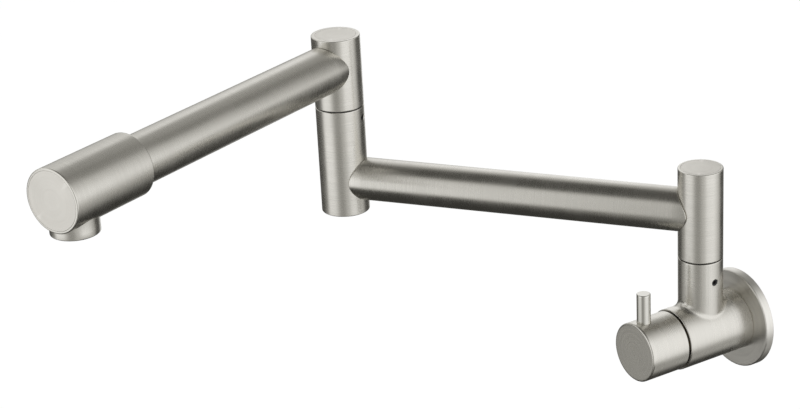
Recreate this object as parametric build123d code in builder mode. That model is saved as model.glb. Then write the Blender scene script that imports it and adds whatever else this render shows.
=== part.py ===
from build123d import *

# Wall mounted pot filler: a quarter-turn valve, two swinging arms and an aerated outlet.
# The wall is the plane Y = 0, the valve axis runs out of it along -Y, and +Z is up. Millimetres.

# Valve axis, distances out from the wall
COVER_RADIUS = 30.0
COVER_THICKNESS = 5.5
COVER_ROUNDING = 0.8
COVER_HOLE = 10.9
GASKET_RADIUS = 26.9
GASKET_BORE = 14.0
GASKET_RECESS = 1.8
BODY_RADIUS = 18.45
BODY_FRONT = 52.8
BODY_ROUNDING = 0.5
COLUMN_OUT = 30.8
COLUMN_FILLET = 4.0
KNOB_RADIUS = 17.8
KNOB_BACK = BODY_FRONT + 1.1
KNOB_FRONT = 80.7
KNOB_ROUNDING = 1.0
KNOB_BACK_ROUNDING = 0.5
KNOB_HOLLOW_RADIUS = 14.4
KNOB_HOLLOW_FRONT = 64.6
LEVER_OUT = 73.4
LEVER_RADIUS = 4.1
LEVER_TOP = 35.7
LEVER_ROUNDING = 0.5
LEVER_SEAT = 13.0
LEVER_STUD_RADIUS = 2.45
LEVER_STUD_BOTTOM = 6.0
KNOB_SCREW_OUT = 69.5
KNOB_SCREW_HEAD = 10.5

# Lower swivel and lower arm, heights above the valve axis
WALL_POST_RADIUS = 13.2
COLUMN_TOP = 47.4
COLUMN_SEAT_BOTTOM = 20.0
LOWER_SPIGOT_BOTTOM = 20.5
LOWER_RINGS = (24.5, 41.5)
WALL_POST_BORE = 10.2
WALL_CAP_RADIUS = 11.6
WALL_POST_TOP = 103.1
LOWER_ARM_HEIGHT = 75.9
LOWER_ARM_RADIUS = 13.05
LOWER_ARM_BORE = 11.0
LOWER_ARM_REACH = 223.7
LOWER_ARM_TURN = 54.4

# Elbow, upper arm and outlet head
ELBOW_RADIUS = 14.8
ELBOW_BOTTOM = 54.9
ELBOW_SEAM = 122.4
ELBOW_TOP = 167.4
ELBOW_BORE = 11.5
ELBOW_SEAT_BOTTOM = 95.8
ELBOW_SPIGOT_BOTTOM = 96.5
ELBOW_RINGS = (100.3, 107.3)
ELBOW_CAP_RADIUS = 12.4
ELBOW_PORT_RADIUS = 11.0
UPPER_ARM_HEIGHT = 148.4
UPPER_ARM_RADIUS = 14.5
UPPER_ARM_BORE = 12.4
UPPER_ARM_TURN = -21.2
HEAD_RADIUS = 18.4
HEAD_BACK = 187.4
HEAD_FRONT = 247.2
HEAD_ROUNDING = 0.7
HEAD_BACK_ROUNDING = 0.4
HEAD_CHAMBER = 15.4
HEAD_CAP_RADIUS = 16.9
TUBE_END = HEAD_BACK + 6.0
SPOUT_REACH = 232.6
SPOUT_RADIUS = 13.7
SPOUT_DEPTH = 22.5
SPOUT_ROUNDING = 0.6
SPOUT_START = 10.8

# Swivels: a hollow spigot screwed into the upper post runs in the post below it
SEAM = 0.6
SPIGOT_RADIUS = 9.4
SPIGOT_SEAT = 9.45
SPIGOT_BORE = 6.2
SPIGOT_THREAD = 10.4
SPIGOT_THREAD_LENGTH = 10.0
GROOVE_FLOOR = 7.9
SCREW_GROOVE = 3.8
RING_GROOVE = 2.4
RING_WIDTH = 2.2
RING_ROUNDING = 0.6
SWIVEL_WASHER_BORE = 9.6
SWIVEL_WASHER_STEP = 0.9
SWIVEL_WASHER_PLAY = 0.05
PORT_RADIUS = 9.8
CAP_THICKNESS = 3.0
COLUMN_SCREW_DROP = 12.5
ELBOW_SCREW_DROP = 6.8

# Set screws
SCREW_RADIUS = 1.95
SCREW_HOLE = 2.0
SCREW_TIP = GROOVE_FLOOR + 0.3
SCREW_SHOULDER = SPIGOT_SEAT + 0.2
SCREW_SOCKET = 2.0
SOCKET_DEPTH = 1.8
COLUMN_SCREW_HEAD = 12.6
ELBOW_SCREW_HEAD = 14.2
DOG_RADIUS = 1.4

# Inlet and ceramic headwork
INLET_THREAD = 10.48
INLET_TAIL = 11.0
INLET_THREAD_IN = 15.2
INLET_BORE = 6.0
INLET_KEY = 12.0
INLET_KEY_DEPTH = 7.0
INLET_LEAD_IN = 1.0
INLET_RELIEF = 2.4
INLET_RELIEF_FLOOR = 9.6
INLET_WASHER_RADIUS = 10.3
INLET_WASHER_BORE = 6.6
SEAT_BORE = 5.5
SEAT_BACK = 17.0
SEAT_FACE = 21.0
HEADWORK_THREAD = 10.4
HEADWORK_SEAT = 10.42
HEADWORK_BACK = 23.0
HEADWORK_STEP = 41.0
HEADWORK_RING = 12.2
HEADWORK_RING_RECESS = 1.6
HEADWORK_RING_WIDTH = 1.5
HEADWORK_NOSE_RADIUS = 8.0
HEADWORK_NOSE = 63.0
HEXAGON = 24.0
HEXAGON_THICKNESS = 4.5
BARREL_RADIUS = 8.6
WINDOW_LENGTH = 3.6
WINDOW_WIDTH = 6.0
DISC_RADIUS = 6.8
DISC_CHAMBER = 6.9
DISC_HOLE = 2.0
DISC_HOLE_OFFSET = 3.8
DISC_SEAL_BORE = 5.9
TAB_LENGTH = 9.8
TAB_WIDTH = 2.3
TAB_DEPTH = 1.2
TAB_PLAY = 0.2
WATER_SLOT = 4.2
WATER_SLOT_OFFSET = 4.6
WATER_SLOT_LENGTH = 3.2
FIXED_DISC_BACK = 25.0
DISC_SPLIT = 28.2
SPINDLE_HEAD_BACK = 31.4
SPINDLE_SHAFT_BACK = 36.0
SPINDLE_RADIUS = 4.0
SPINDLE_PLAY = 0.05
SPINDLE_BEVEL = 0.5
SPINDLE_GROOVE = 1.8
SPINDLE_GROOVE_FLOOR = 2.9
SPINDLE_RING_WIDTH = 1.6
SPINDLE_RING_ROUNDING = 0.35
SPINDLE_RINGS = (41.0, 45.0)
SPINDLE_END = 73.4
CIRCLIP_BACK = 63.15
CIRCLIP_RADIUS = 5.6
CIRCLIP_THICKNESS = 0.7
CIRCLIP_GROOVE = 0.8
CIRCLIP_FLOOR = 3.4
CIRCLIP_GAP = 3.0

# Outlet collar, depths below the upper arm's axis
AERATOR_THREAD = 11.0
AERATOR_SEAT = 12.8
AERATOR_PASSAGE = 8.8
AERATOR_WASHER_END = 14.2
AERATOR_SHELL_START = 14.3
AERATOR_SHELL_BORE = 9.3
AERATOR_LIP_BORE = 8.5
AERATOR_RECESS = 0.3
AERATOR_LIP = 1.0
AERATOR_NOTCH = 2.2
AERATOR_CORE_RADIUS = 9.2
AERATOR_INSERT_START = 14.5
AERATOR_INSERT_RECESS = 2.0
AERATOR_OUTER_HOLES = (6.4, 12, 1.1)
AERATOR_INNER_HOLES = (3.0, 6, 0.9)
SCREEN_RECESS = 1.35
SCREEN_THICKNESS = 0.55
SCREEN_PITCH = 1.7
SCREEN_HOLE = 1.25
SCREEN_REACH = 7.6

FIT = 0.02
CLOSE = 0.01
EDGE = 0.4

UP = Vector(0, 0, 1)
LOWER_DIRECTION = Vector(0, -1, 0).rotate(Axis.Z, -LOWER_ARM_TURN)
UPPER_DIRECTION = Vector(0, -1, 0).rotate(Axis.Z, -UPPER_ARM_TURN)
VALVE = Plane(origin=(0, 0, 0), x_dir=(1, 0, 0), z_dir=(0, -1, 0))
LEVER = Plane(origin=(0, -LEVER_OUT, 0))
KNOB_SCREW = Plane(origin=(0, -KNOB_SCREW_OUT, 0), x_dir=(1, 0, 0), z_dir=(0, 0, -1))
COLUMN = Plane(origin=(0, -COLUMN_OUT, 0))
ELBOW = Plane(origin=COLUMN.origin + LOWER_DIRECTION * LOWER_ARM_REACH)
LOWER_ARM = Plane(origin=COLUMN.origin + UP * LOWER_ARM_HEIGHT, x_dir=UP, z_dir=LOWER_DIRECTION)
UPPER_ARM = Plane(origin=ELBOW.origin + UP * UPPER_ARM_HEIGHT, x_dir=UP, z_dir=UPPER_DIRECTION)
SPOUT = Plane(origin=UPPER_ARM.origin + UPPER_DIRECTION * SPOUT_REACH, x_dir=UPPER_DIRECTION, z_dir=-UP)
WALL_SEAM = COLUMN_TOP + SEAM
ELBOW_UPPER_SEAM = ELBOW_SEAM + SEAM
COLUMN_SCREW_HEIGHT = COLUMN_TOP - COLUMN_SCREW_DROP
ELBOW_SCREW_HEIGHT = ELBOW_SEAM - ELBOW_SCREW_DROP
COLUMN_SCREW = Plane(origin=COLUMN.origin + UP * COLUMN_SCREW_HEIGHT, x_dir=UP, z_dir=(1, 0, 0))
ELBOW_SCREW = Plane(origin=ELBOW.origin + UP * ELBOW_SCREW_HEIGHT, x_dir=UP, z_dir=-LOWER_DIRECTION)


def turn(plane, start, end, radius, bore=0.0, mode=Mode.ADD):
    """Add or cut a turned length on the plane's axis, between two distances along it."""
    with BuildSketch(plane.offset(start)) as ring:
        Circle(radius)
        if bore:
            Circle(bore, mode=Mode.SUBTRACT)
    extrude(ring.sketch, amount=end - start, mode=mode)


def drill(plane, start, end, radius):
    """Cut a round hole on the plane's axis."""
    turn(plane, start, end, radius, mode=Mode.SUBTRACT)


def groove(plane, middle, width, floor, radius):
    """Cut a groove of that width round a shaft, down to the floor radius."""
    turn(plane, middle - width / 2, middle + width / 2, radius + 1, bore=floor, mode=Mode.SUBTRACT)


def hexagon(plane, start, end, across_flats, mode=Mode.SUBTRACT):
    """Cut a hexagon socket, or add a hexagon head."""
    with BuildSketch(plane.offset(start)) as outline:
        RegularPolygon(across_flats / 2, 6, major_radius=False)
    extrude(outline.sketch, amount=end - start, mode=mode)


def block(plane, start, end, width, height, offset=(0, 0), mode=Mode.ADD):
    """Add or cut a rectangular length along the plane's axis."""
    with BuildSketch(plane.offset(start)) as outline:
        with Locations(offset):
            Rectangle(width, height)
    extrude(outline.sketch, amount=end - start, mode=mode)


def rims(builder, plane, height, radius):
    """The circular edges of one radius at one distance along the plane's axis."""
    centre = plane.offset(height).origin
    circles = builder.edges().filter_by(GeomType.CIRCLE)
    sized = circles.filter_by(lambda edge: abs(edge.radius - radius) < CLOSE)
    return sized.filter_by(lambda edge: (edge.arc_center - centre).length < CLOSE)


def spigot(plane, bottom, seam, screw_height, ring_heights):
    """Build a swivel spigot: running length, screwed length, grooves and the water bore."""
    top = seam + SPIGOT_THREAD_LENGTH
    turn(plane, bottom, seam, SPIGOT_RADIUS)
    turn(plane, seam, top, SPIGOT_THREAD)
    groove(plane, screw_height, SCREW_GROOVE, GROOVE_FLOOR, SPIGOT_RADIUS)
    for height in ring_heights:
        groove(plane, height, RING_GROOVE, GROOVE_FLOOR, SPIGOT_RADIUS)
    drill(plane, bottom, top, SPIGOT_BORE)


def o_rings(plane, heights, width, inner, outer):
    """Build the plain rings that become squeezed O-rings, at those heights."""
    for height in heights:
        turn(plane, height - width / 2, height + width / 2, outer, bore=inner)


def swivel_washer(plane, bottom, top, post_radius):
    """Build the thin washer that fills a swivel's seam, a little inside the posts."""
    outer = post_radius - SWIVEL_WASHER_STEP
    turn(plane, bottom + FIT, top - SWIVEL_WASHER_PLAY, outer, bore=SWIVEL_WASHER_BORE)


def set_screw(plane, tip, shoulder, head):
    """Build a socket set screw with a dog point."""
    turn(plane, tip, shoulder, DOG_RADIUS)
    turn(plane, shoulder, head, SCREW_RADIUS)
    hexagon(plane, head - SOCKET_DEPTH, head, SCREW_SOCKET)


# ---- Wall side, fixed ----

# Cover plate with a rounded front edge and a recess for its gasket
with BuildPart() as wall_flange:
    turn(VALVE, 0, COVER_THICKNESS, COVER_RADIUS)
    fillet(rims(wall_flange, VALVE, COVER_THICKNESS, COVER_RADIUS), COVER_ROUNDING)
    drill(VALVE, 0, GASKET_RECESS, GASKET_RADIUS + 0.1)
    drill(VALVE, 0, COVER_THICKNESS, COVER_HOLE)
wall_flange.part.label = "wall_flange"
export_step(wall_flange.part, "parts/wall_flange.step")

# Soft ring in the cover's recess, flush with the wall
with BuildPart() as flange_gasket:
    turn(VALVE, 0, GASKET_RECESS - FIT, GASKET_RADIUS, bore=GASKET_BORE)
flange_gasket.part.label = "flange_gasket"
export_step(flange_gasket.part, "parts/flange_gasket.step")

# Tail that screws into the wall elbow, with a relief at the wall and a key socket in its end
with BuildPart() as inlet_nipple:
    turn(VALVE, -INLET_TAIL, INLET_THREAD_IN, INLET_THREAD)
    chamfer(rims(inlet_nipple, VALVE, -INLET_TAIL, INLET_THREAD), INLET_LEAD_IN)
    groove(VALVE, INLET_RELIEF / 2, INLET_RELIEF, INLET_RELIEF_FLOOR, INLET_THREAD)
    drill(VALVE, -INLET_TAIL, INLET_THREAD_IN, INLET_BORE)
    hexagon(VALVE, -INLET_TAIL, INLET_KEY_DEPTH - INLET_TAIL, INLET_KEY)
inlet_nipple.part.label = "inlet_nipple"
export_step(inlet_nipple.part, "parts/inlet_nipple.step")

with BuildPart() as inlet_washer:
    turn(VALVE, INLET_THREAD_IN + FIT, SEAT_BACK - FIT, INLET_WASHER_RADIUS, bore=INLET_WASHER_BORE)
inlet_washer.part.label = "inlet_washer"
export_step(inlet_washer.part, "parts/inlet_washer.step")

# Horizontal body and swivel column in one casting
with BuildPart() as valve_body:
    turn(VALVE, COVER_THICKNESS, BODY_FRONT, BODY_RADIUS)
    turn(COLUMN, 0, COLUMN_TOP, WALL_POST_RADIUS)
    saddle = valve_body.edges().filter_by(GeomType.CIRCLE, reverse=True)
    fillet(saddle.filter_by(GeomType.LINE, reverse=True), COLUMN_FILLET)
    fillet(rims(valve_body, VALVE, BODY_FRONT, BODY_RADIUS), BODY_ROUNDING)
    fillet(rims(valve_body, COLUMN, COLUMN_TOP, WALL_POST_RADIUS), EDGE)
    drill(VALVE, COVER_THICKNESS, SEAT_BACK, INLET_THREAD + FIT)
    drill(VALVE, SEAT_BACK, SEAT_FACE, SEAT_BORE)
    drill(VALVE, SEAT_FACE, BODY_FRONT, HEADWORK_SEAT)
    drill(VALVE, BODY_FRONT - HEADWORK_RING_RECESS, BODY_FRONT, HEADWORK_RING + 0.1)
    drill(COLUMN, 0, COLUMN_TOP, SPIGOT_BORE)
    drill(COLUMN, COLUMN_SEAT_BOTTOM, COLUMN_TOP, SPIGOT_SEAT)
    drill(COLUMN_SCREW, GROOVE_FLOOR, WALL_POST_RADIUS + 1, SCREW_HOLE)
valve_body.part.label = "valve_body"
export_step(valve_body.part, "parts/valve_body.step")

with BuildPart() as column_set_screw:
    set_screw(COLUMN_SCREW, SCREW_TIP, SCREW_SHOULDER, COLUMN_SCREW_HEAD)
column_set_screw.part.label = "column_set_screw"
export_step(column_set_screw.part, "parts/column_set_screw.step")

with BuildPart() as lower_swivel_washer:
    swivel_washer(COLUMN, COLUMN_TOP, WALL_SEAM, WALL_POST_RADIUS)
lower_swivel_washer.part.label = "lower_swivel_washer"
export_step(lower_swivel_washer.part, "parts/lower_swivel_washer.step")

# ---- Ceramic headwork ----

# Barrel with its windows, thread, hexagon and nose
with BuildPart() as headwork_housing:
    turn(VALVE, HEADWORK_BACK, HEADWORK_STEP, BARREL_RADIUS)
    turn(VALVE, HEADWORK_STEP, BODY_FRONT, HEADWORK_THREAD)
    hexagon(VALVE, BODY_FRONT, BODY_FRONT + HEXAGON_THICKNESS, HEXAGON, mode=Mode.ADD)
    turn(VALVE, BODY_FRONT + HEXAGON_THICKNESS, HEADWORK_NOSE, HEADWORK_NOSE_RADIUS)
    drill(VALVE, HEADWORK_BACK, SPINDLE_SHAFT_BACK + 0.3, DISC_CHAMBER)
    drill(VALVE, SPINDLE_SHAFT_BACK, HEADWORK_NOSE, SPINDLE_RADIUS + SPINDLE_PLAY)
    window_end = SPINDLE_HEAD_BACK + WINDOW_LENGTH
    block(VALVE, SPINDLE_HEAD_BACK, window_end, 3 * BARREL_RADIUS, WINDOW_WIDTH, mode=Mode.SUBTRACT)
headwork_housing.part.label = "headwork_housing"
export_step(headwork_housing.part, "parts/headwork_housing.step")

with BuildPart() as headwork_o_ring:
    ring_height = BODY_FRONT - HEADWORK_RING_RECESS / 2
    o_rings(VALVE, [ring_height], HEADWORK_RING_WIDTH, HEADWORK_THREAD + 0.1, HEADWORK_RING)
    fillet(headwork_o_ring.edges().filter_by(GeomType.CIRCLE), RING_ROUNDING)
headwork_o_ring.part.label = "headwork_o_ring"
export_step(headwork_o_ring.part, "parts/headwork_o_ring.step")

with BuildPart() as disc_seal:
    turn(VALVE, SEAT_FACE + FIT, FIXED_DISC_BACK - FIT, DISC_RADIUS, bore=DISC_SEAL_BORE)
disc_seal.part.label = "disc_seal"
export_step(disc_seal.part, "parts/disc_seal.step")

# Fixed ceramic disc, its two ports lying left and right
with BuildPart() as fixed_disc:
    turn(VALVE, FIXED_DISC_BACK, DISC_SPLIT - FIT, DISC_RADIUS)
    with Locations(VALVE.offset(DISC_SPLIT)):
        with Locations((DISC_HOLE_OFFSET, 0), (-DISC_HOLE_OFFSET, 0)):
            Hole(DISC_HOLE)
fixed_disc.part.label = "fixed_disc"
export_step(fixed_disc.part, "parts/fixed_disc.step")

# Moving ceramic disc, its ports a quarter turn away and a slot for the spindle
with BuildPart() as moving_disc:
    turn(VALVE, DISC_SPLIT, SPINDLE_HEAD_BACK - FIT, DISC_RADIUS)
    with Locations(VALVE.offset(SPINDLE_HEAD_BACK)):
        with Locations((0, DISC_HOLE_OFFSET), (0, -DISC_HOLE_OFFSET)):
            Hole(DISC_HOLE)
    slot_floor = SPINDLE_HEAD_BACK - TAB_DEPTH - 0.1
    slot_size = (TAB_LENGTH + TAB_PLAY, TAB_WIDTH + TAB_PLAY)
    block(VALVE, slot_floor, SPINDLE_HEAD_BACK, *slot_size, mode=Mode.SUBTRACT)
moving_disc.part.label = "moving_disc"
export_step(moving_disc.part, "parts/moving_disc.step")

# Spindle: head with drive tab and water slots, grooved shaft, end inside the knob
with BuildPart() as spindle:
    turn(VALVE, SPINDLE_HEAD_BACK, SPINDLE_SHAFT_BACK, DISC_RADIUS)
    block(VALVE, SPINDLE_HEAD_BACK - TAB_DEPTH, SPINDLE_HEAD_BACK, TAB_LENGTH, TAB_WIDTH)
    slot_end = SPINDLE_HEAD_BACK + WATER_SLOT_LENGTH
    for side in (WATER_SLOT_OFFSET, -WATER_SLOT_OFFSET):
        block(VALVE, SPINDLE_HEAD_BACK, slot_end, WATER_SLOT, WINDOW_WIDTH, (0, side), Mode.SUBTRACT)
    turn(VALVE, SPINDLE_SHAFT_BACK, SPINDLE_END, SPINDLE_RADIUS)
    for middle in SPINDLE_RINGS:
        groove(VALVE, middle, SPINDLE_GROOVE, SPINDLE_GROOVE_FLOOR, SPINDLE_RADIUS)
    groove(VALVE, CIRCLIP_BACK + CIRCLIP_THICKNESS / 2, CIRCLIP_GROOVE, CIRCLIP_FLOOR, SPINDLE_RADIUS)
    chamfer(rims(spindle, VALVE, SPINDLE_END, SPINDLE_RADIUS), SPINDLE_BEVEL)
spindle.part.label = "spindle"
export_step(spindle.part, "parts/spindle.step")

with BuildPart() as spindle_o_rings:
    ring_inner = SPINDLE_GROOVE_FLOOR + FIT
    o_rings(VALVE, SPINDLE_RINGS, SPINDLE_RING_WIDTH, ring_inner, SPINDLE_RADIUS + FIT)
    fillet(spindle_o_rings.edges().filter_by(GeomType.CIRCLE), SPINDLE_RING_ROUNDING)
spindle_o_rings.part.label = "spindle_o_rings"
export_step(spindle_o_rings.part, "parts/spindle_o_rings.step")

with BuildPart() as spindle_circlip:
    clip_front = CIRCLIP_BACK + CIRCLIP_THICKNESS
    turn(VALVE, CIRCLIP_BACK, clip_front, CIRCLIP_RADIUS, bore=CIRCLIP_FLOOR + FIT)
    gap_middle = (0, -(CIRCLIP_RADIUS + CIRCLIP_FLOOR) / 2)
    block(VALVE, CIRCLIP_BACK, clip_front, CIRCLIP_GAP, SPINDLE_RADIUS, gap_middle, Mode.SUBTRACT)
spindle_circlip.part.label = "spindle_circlip"
export_step(spindle_circlip.part, "parts/spindle_circlip.step")

# ---- Knob ----

# Solid knob, hollowed behind for the headwork, bored for spindle, lever and screw
with BuildPart() as knob:
    turn(VALVE, KNOB_BACK, KNOB_FRONT, KNOB_RADIUS)
    fillet(rims(knob, VALVE, KNOB_FRONT, KNOB_RADIUS), KNOB_ROUNDING)
    fillet(rims(knob, VALVE, KNOB_BACK, KNOB_RADIUS), KNOB_BACK_ROUNDING)
    drill(VALVE, KNOB_BACK, KNOB_HOLLOW_FRONT, KNOB_HOLLOW_RADIUS)
    drill(VALVE, KNOB_HOLLOW_FRONT, SPINDLE_END + 0.6, SPINDLE_RADIUS + FIT)
    drill(LEVER, LEVER_SEAT, KNOB_RADIUS + 1, LEVER_RADIUS + FIT)
    drill(LEVER, LEVER_STUD_BOTTOM - EDGE, LEVER_SEAT, LEVER_STUD_RADIUS + 0.05)
    drill(KNOB_SCREW, 0, KNOB_RADIUS + 1, SCREW_HOLE)
knob.part.label = "knob"
export_step(knob.part, "parts/knob.step")

with BuildPart() as lever_pin:
    turn(LEVER, LEVER_SEAT + FIT, LEVER_TOP, LEVER_RADIUS)
    turn(LEVER, LEVER_STUD_BOTTOM, LEVER_SEAT + FIT, LEVER_STUD_RADIUS)
    fillet(rims(lever_pin, LEVER, LEVER_TOP, LEVER_RADIUS), LEVER_ROUNDING)
lever_pin.part.label = "lever_pin"
export_step(lever_pin.part, "parts/lever_pin.step")

with BuildPart() as knob_grub_screw:
    turn(KNOB_SCREW, SPINDLE_RADIUS + FIT, KNOB_SCREW_HEAD, SCREW_RADIUS)
    hexagon(KNOB_SCREW, KNOB_SCREW_HEAD - SOCKET_DEPTH, KNOB_SCREW_HEAD, SCREW_SOCKET)
knob_grub_screw.part.label = "knob_grub_screw"
export_step(knob_grub_screw.part, "parts/knob_grub_screw.step")

# ---- Lower arm ----

with BuildPart() as lower_spigot:
    spigot(COLUMN, LOWER_SPIGOT_BOTTOM, WALL_SEAM, COLUMN_SCREW_HEIGHT, LOWER_RINGS)
lower_spigot.part.label = "lower_spigot"
export_step(lower_spigot.part, "parts/lower_spigot.step")

with BuildPart() as lower_spigot_o_rings:
    o_rings(COLUMN, LOWER_RINGS, RING_WIDTH, GROOVE_FLOOR + FIT, SPIGOT_RADIUS + FIT)
    fillet(lower_spigot_o_rings.edges().filter_by(GeomType.CIRCLE), RING_ROUNDING)
lower_spigot_o_rings.part.label = "lower_spigot_o_rings"
export_step(lower_spigot_o_rings.part, "parts/lower_spigot_o_rings.step")

# Post that turns on the column, open on the arm's side for the water
with BuildPart() as wall_post:
    turn(COLUMN, WALL_SEAM, WALL_POST_TOP, WALL_POST_RADIUS)
    fillet(rims(wall_post, COLUMN, WALL_SEAM, WALL_POST_RADIUS), EDGE)
    fillet(rims(wall_post, COLUMN, WALL_POST_TOP, WALL_POST_RADIUS), EDGE)
    drill(COLUMN, WALL_SEAM, WALL_SEAM + SPIGOT_THREAD_LENGTH, SPIGOT_THREAD + FIT)
    drill(COLUMN, WALL_SEAM, WALL_POST_TOP, WALL_POST_BORE)
    drill(COLUMN, WALL_POST_TOP - CAP_THICKNESS, WALL_POST_TOP, WALL_CAP_RADIUS)
    drill(LOWER_ARM, 0, WALL_POST_RADIUS + 1, PORT_RADIUS)
wall_post.part.label = "wall_post"
export_step(wall_post.part, "parts/wall_post.step")

with BuildPart() as wall_post_cap:
    turn(COLUMN, WALL_POST_TOP - CAP_THICKNESS, WALL_POST_TOP, WALL_CAP_RADIUS - FIT)
wall_post_cap.part.label = "wall_post_cap"
export_step(wall_post_cap.part, "parts/wall_post_cap.step")

# Straight tube, its ends coped to both posts
with BuildPart() as lower_arm:
    turn(LOWER_ARM, 0, LOWER_ARM_REACH, LOWER_ARM_RADIUS, bore=LOWER_ARM_BORE)
    drill(COLUMN, WALL_SEAM, WALL_POST_TOP, WALL_POST_RADIUS)
    drill(ELBOW, ELBOW_BOTTOM, ELBOW_SEAM, ELBOW_RADIUS)
lower_arm.part.label = "lower_arm"
export_step(lower_arm.part, "parts/lower_arm.step")

with BuildPart() as elbow_lower_post:
    turn(ELBOW, ELBOW_BOTTOM, ELBOW_SEAM, ELBOW_RADIUS)
    fillet(rims(elbow_lower_post, ELBOW, ELBOW_SEAM, ELBOW_RADIUS), EDGE)
    fillet(rims(elbow_lower_post, ELBOW, ELBOW_BOTTOM, ELBOW_RADIUS), EDGE)
    drill(ELBOW, ELBOW_BOTTOM, ELBOW_SEAM, SPIGOT_SEAT)
    drill(ELBOW, ELBOW_BOTTOM, ELBOW_SEAT_BOTTOM, ELBOW_BORE)
    drill(ELBOW, ELBOW_BOTTOM, ELBOW_BOTTOM + CAP_THICKNESS, ELBOW_CAP_RADIUS)
    drill(LOWER_ARM, LOWER_ARM_REACH - ELBOW_RADIUS - 1, LOWER_ARM_REACH, PORT_RADIUS)
    drill(ELBOW_SCREW, GROOVE_FLOOR, ELBOW_RADIUS + 1, SCREW_HOLE)
elbow_lower_post.part.label = "elbow_lower_post"
export_step(elbow_lower_post.part, "parts/elbow_lower_post.step")

with BuildPart() as elbow_bottom_cap:
    turn(ELBOW, ELBOW_BOTTOM, ELBOW_BOTTOM + CAP_THICKNESS, ELBOW_CAP_RADIUS - FIT)
elbow_bottom_cap.part.label = "elbow_bottom_cap"
export_step(elbow_bottom_cap.part, "parts/elbow_bottom_cap.step")

with BuildPart() as elbow_set_screw:
    set_screw(ELBOW_SCREW, SCREW_TIP, SCREW_SHOULDER, ELBOW_SCREW_HEAD)
elbow_set_screw.part.label = "elbow_set_screw"
export_step(elbow_set_screw.part, "parts/elbow_set_screw.step")

with BuildPart() as elbow_swivel_washer:
    swivel_washer(ELBOW, ELBOW_SEAM, ELBOW_UPPER_SEAM, ELBOW_RADIUS)
elbow_swivel_washer.part.label = "elbow_swivel_washer"
export_step(elbow_swivel_washer.part, "parts/elbow_swivel_washer.step")

# ---- Upper arm ----

with BuildPart() as elbow_spigot:
    spigot(ELBOW, ELBOW_SPIGOT_BOTTOM, ELBOW_UPPER_SEAM, ELBOW_SCREW_HEIGHT, ELBOW_RINGS)
elbow_spigot.part.label = "elbow_spigot"
export_step(elbow_spigot.part, "parts/elbow_spigot.step")

with BuildPart() as elbow_spigot_o_rings:
    o_rings(ELBOW, ELBOW_RINGS, RING_WIDTH, GROOVE_FLOOR + FIT, SPIGOT_RADIUS + FIT)
    fillet(elbow_spigot_o_rings.edges().filter_by(GeomType.CIRCLE), RING_ROUNDING)
elbow_spigot_o_rings.part.label = "elbow_spigot_o_rings"
export_step(elbow_spigot_o_rings.part, "parts/elbow_spigot_o_rings.step")

with BuildPart() as elbow_upper_post:
    turn(ELBOW, ELBOW_UPPER_SEAM, ELBOW_TOP, ELBOW_RADIUS)
    fillet(rims(elbow_upper_post, ELBOW, ELBOW_UPPER_SEAM, ELBOW_RADIUS), EDGE)
    fillet(rims(elbow_upper_post, ELBOW, ELBOW_TOP, ELBOW_RADIUS), EDGE)
    drill(ELBOW, ELBOW_UPPER_SEAM, ELBOW_TOP, SPIGOT_THREAD + FIT)
    drill(ELBOW, ELBOW_UPPER_SEAM + SPIGOT_THREAD_LENGTH + 1, ELBOW_TOP, ELBOW_BORE)
    drill(ELBOW, ELBOW_TOP - CAP_THICKNESS, ELBOW_TOP, ELBOW_CAP_RADIUS)
    drill(UPPER_ARM, 0, ELBOW_RADIUS + 1, ELBOW_PORT_RADIUS)
elbow_upper_post.part.label = "elbow_upper_post"
export_step(elbow_upper_post.part, "parts/elbow_upper_post.step")

with BuildPart() as elbow_top_cap:
    turn(ELBOW, ELBOW_TOP - CAP_THICKNESS, ELBOW_TOP, ELBOW_CAP_RADIUS - FIT)
elbow_top_cap.part.label = "elbow_top_cap"
export_step(elbow_top_cap.part, "parts/elbow_top_cap.step")

# Straight tube, coped to the post and let into the outlet head
with BuildPart() as upper_arm:
    turn(UPPER_ARM, 0, TUBE_END, UPPER_ARM_RADIUS, bore=UPPER_ARM_BORE)
    drill(ELBOW, ELBOW_UPPER_SEAM, ELBOW_TOP, ELBOW_RADIUS)
upper_arm.part.label = "upper_arm"
export_step(upper_arm.part, "parts/upper_arm.step")

# ---- Outlet ----

# Sleeve head with a water chamber, and the collar that carries the aerator below it
with BuildPart() as outlet_head:
    turn(UPPER_ARM, HEAD_BACK, HEAD_FRONT, HEAD_RADIUS)
    fillet(rims(outlet_head, UPPER_ARM, HEAD_FRONT, HEAD_RADIUS), HEAD_ROUNDING)
    fillet(rims(outlet_head, UPPER_ARM, HEAD_BACK, HEAD_RADIUS), HEAD_BACK_ROUNDING)
    drill(UPPER_ARM, HEAD_BACK, TUBE_END + 0.1, UPPER_ARM_RADIUS + FIT)
    drill(UPPER_ARM, TUBE_END, HEAD_FRONT, HEAD_CHAMBER)
    turn(SPOUT, SPOUT_START, SPOUT_DEPTH, SPOUT_RADIUS)
    fillet(rims(outlet_head, SPOUT, SPOUT_DEPTH, SPOUT_RADIUS), SPOUT_ROUNDING)
    drill(UPPER_ARM, HEAD_FRONT - CAP_THICKNESS, HEAD_FRONT, HEAD_CAP_RADIUS)
    drill(SPOUT, AERATOR_SEAT, SPOUT_DEPTH, AERATOR_THREAD)
    drill(SPOUT, SPOUT_START, AERATOR_SEAT, AERATOR_PASSAGE)
outlet_head.part.label = "outlet_head"
export_step(outlet_head.part, "parts/outlet_head.step")

with BuildPart() as head_cap:
    turn(UPPER_ARM, HEAD_FRONT - CAP_THICKNESS + FIT, HEAD_FRONT, HEAD_CAP_RADIUS - FIT)
head_cap.part.label = "head_cap"
export_step(head_cap.part, "parts/head_cap.step")

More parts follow.
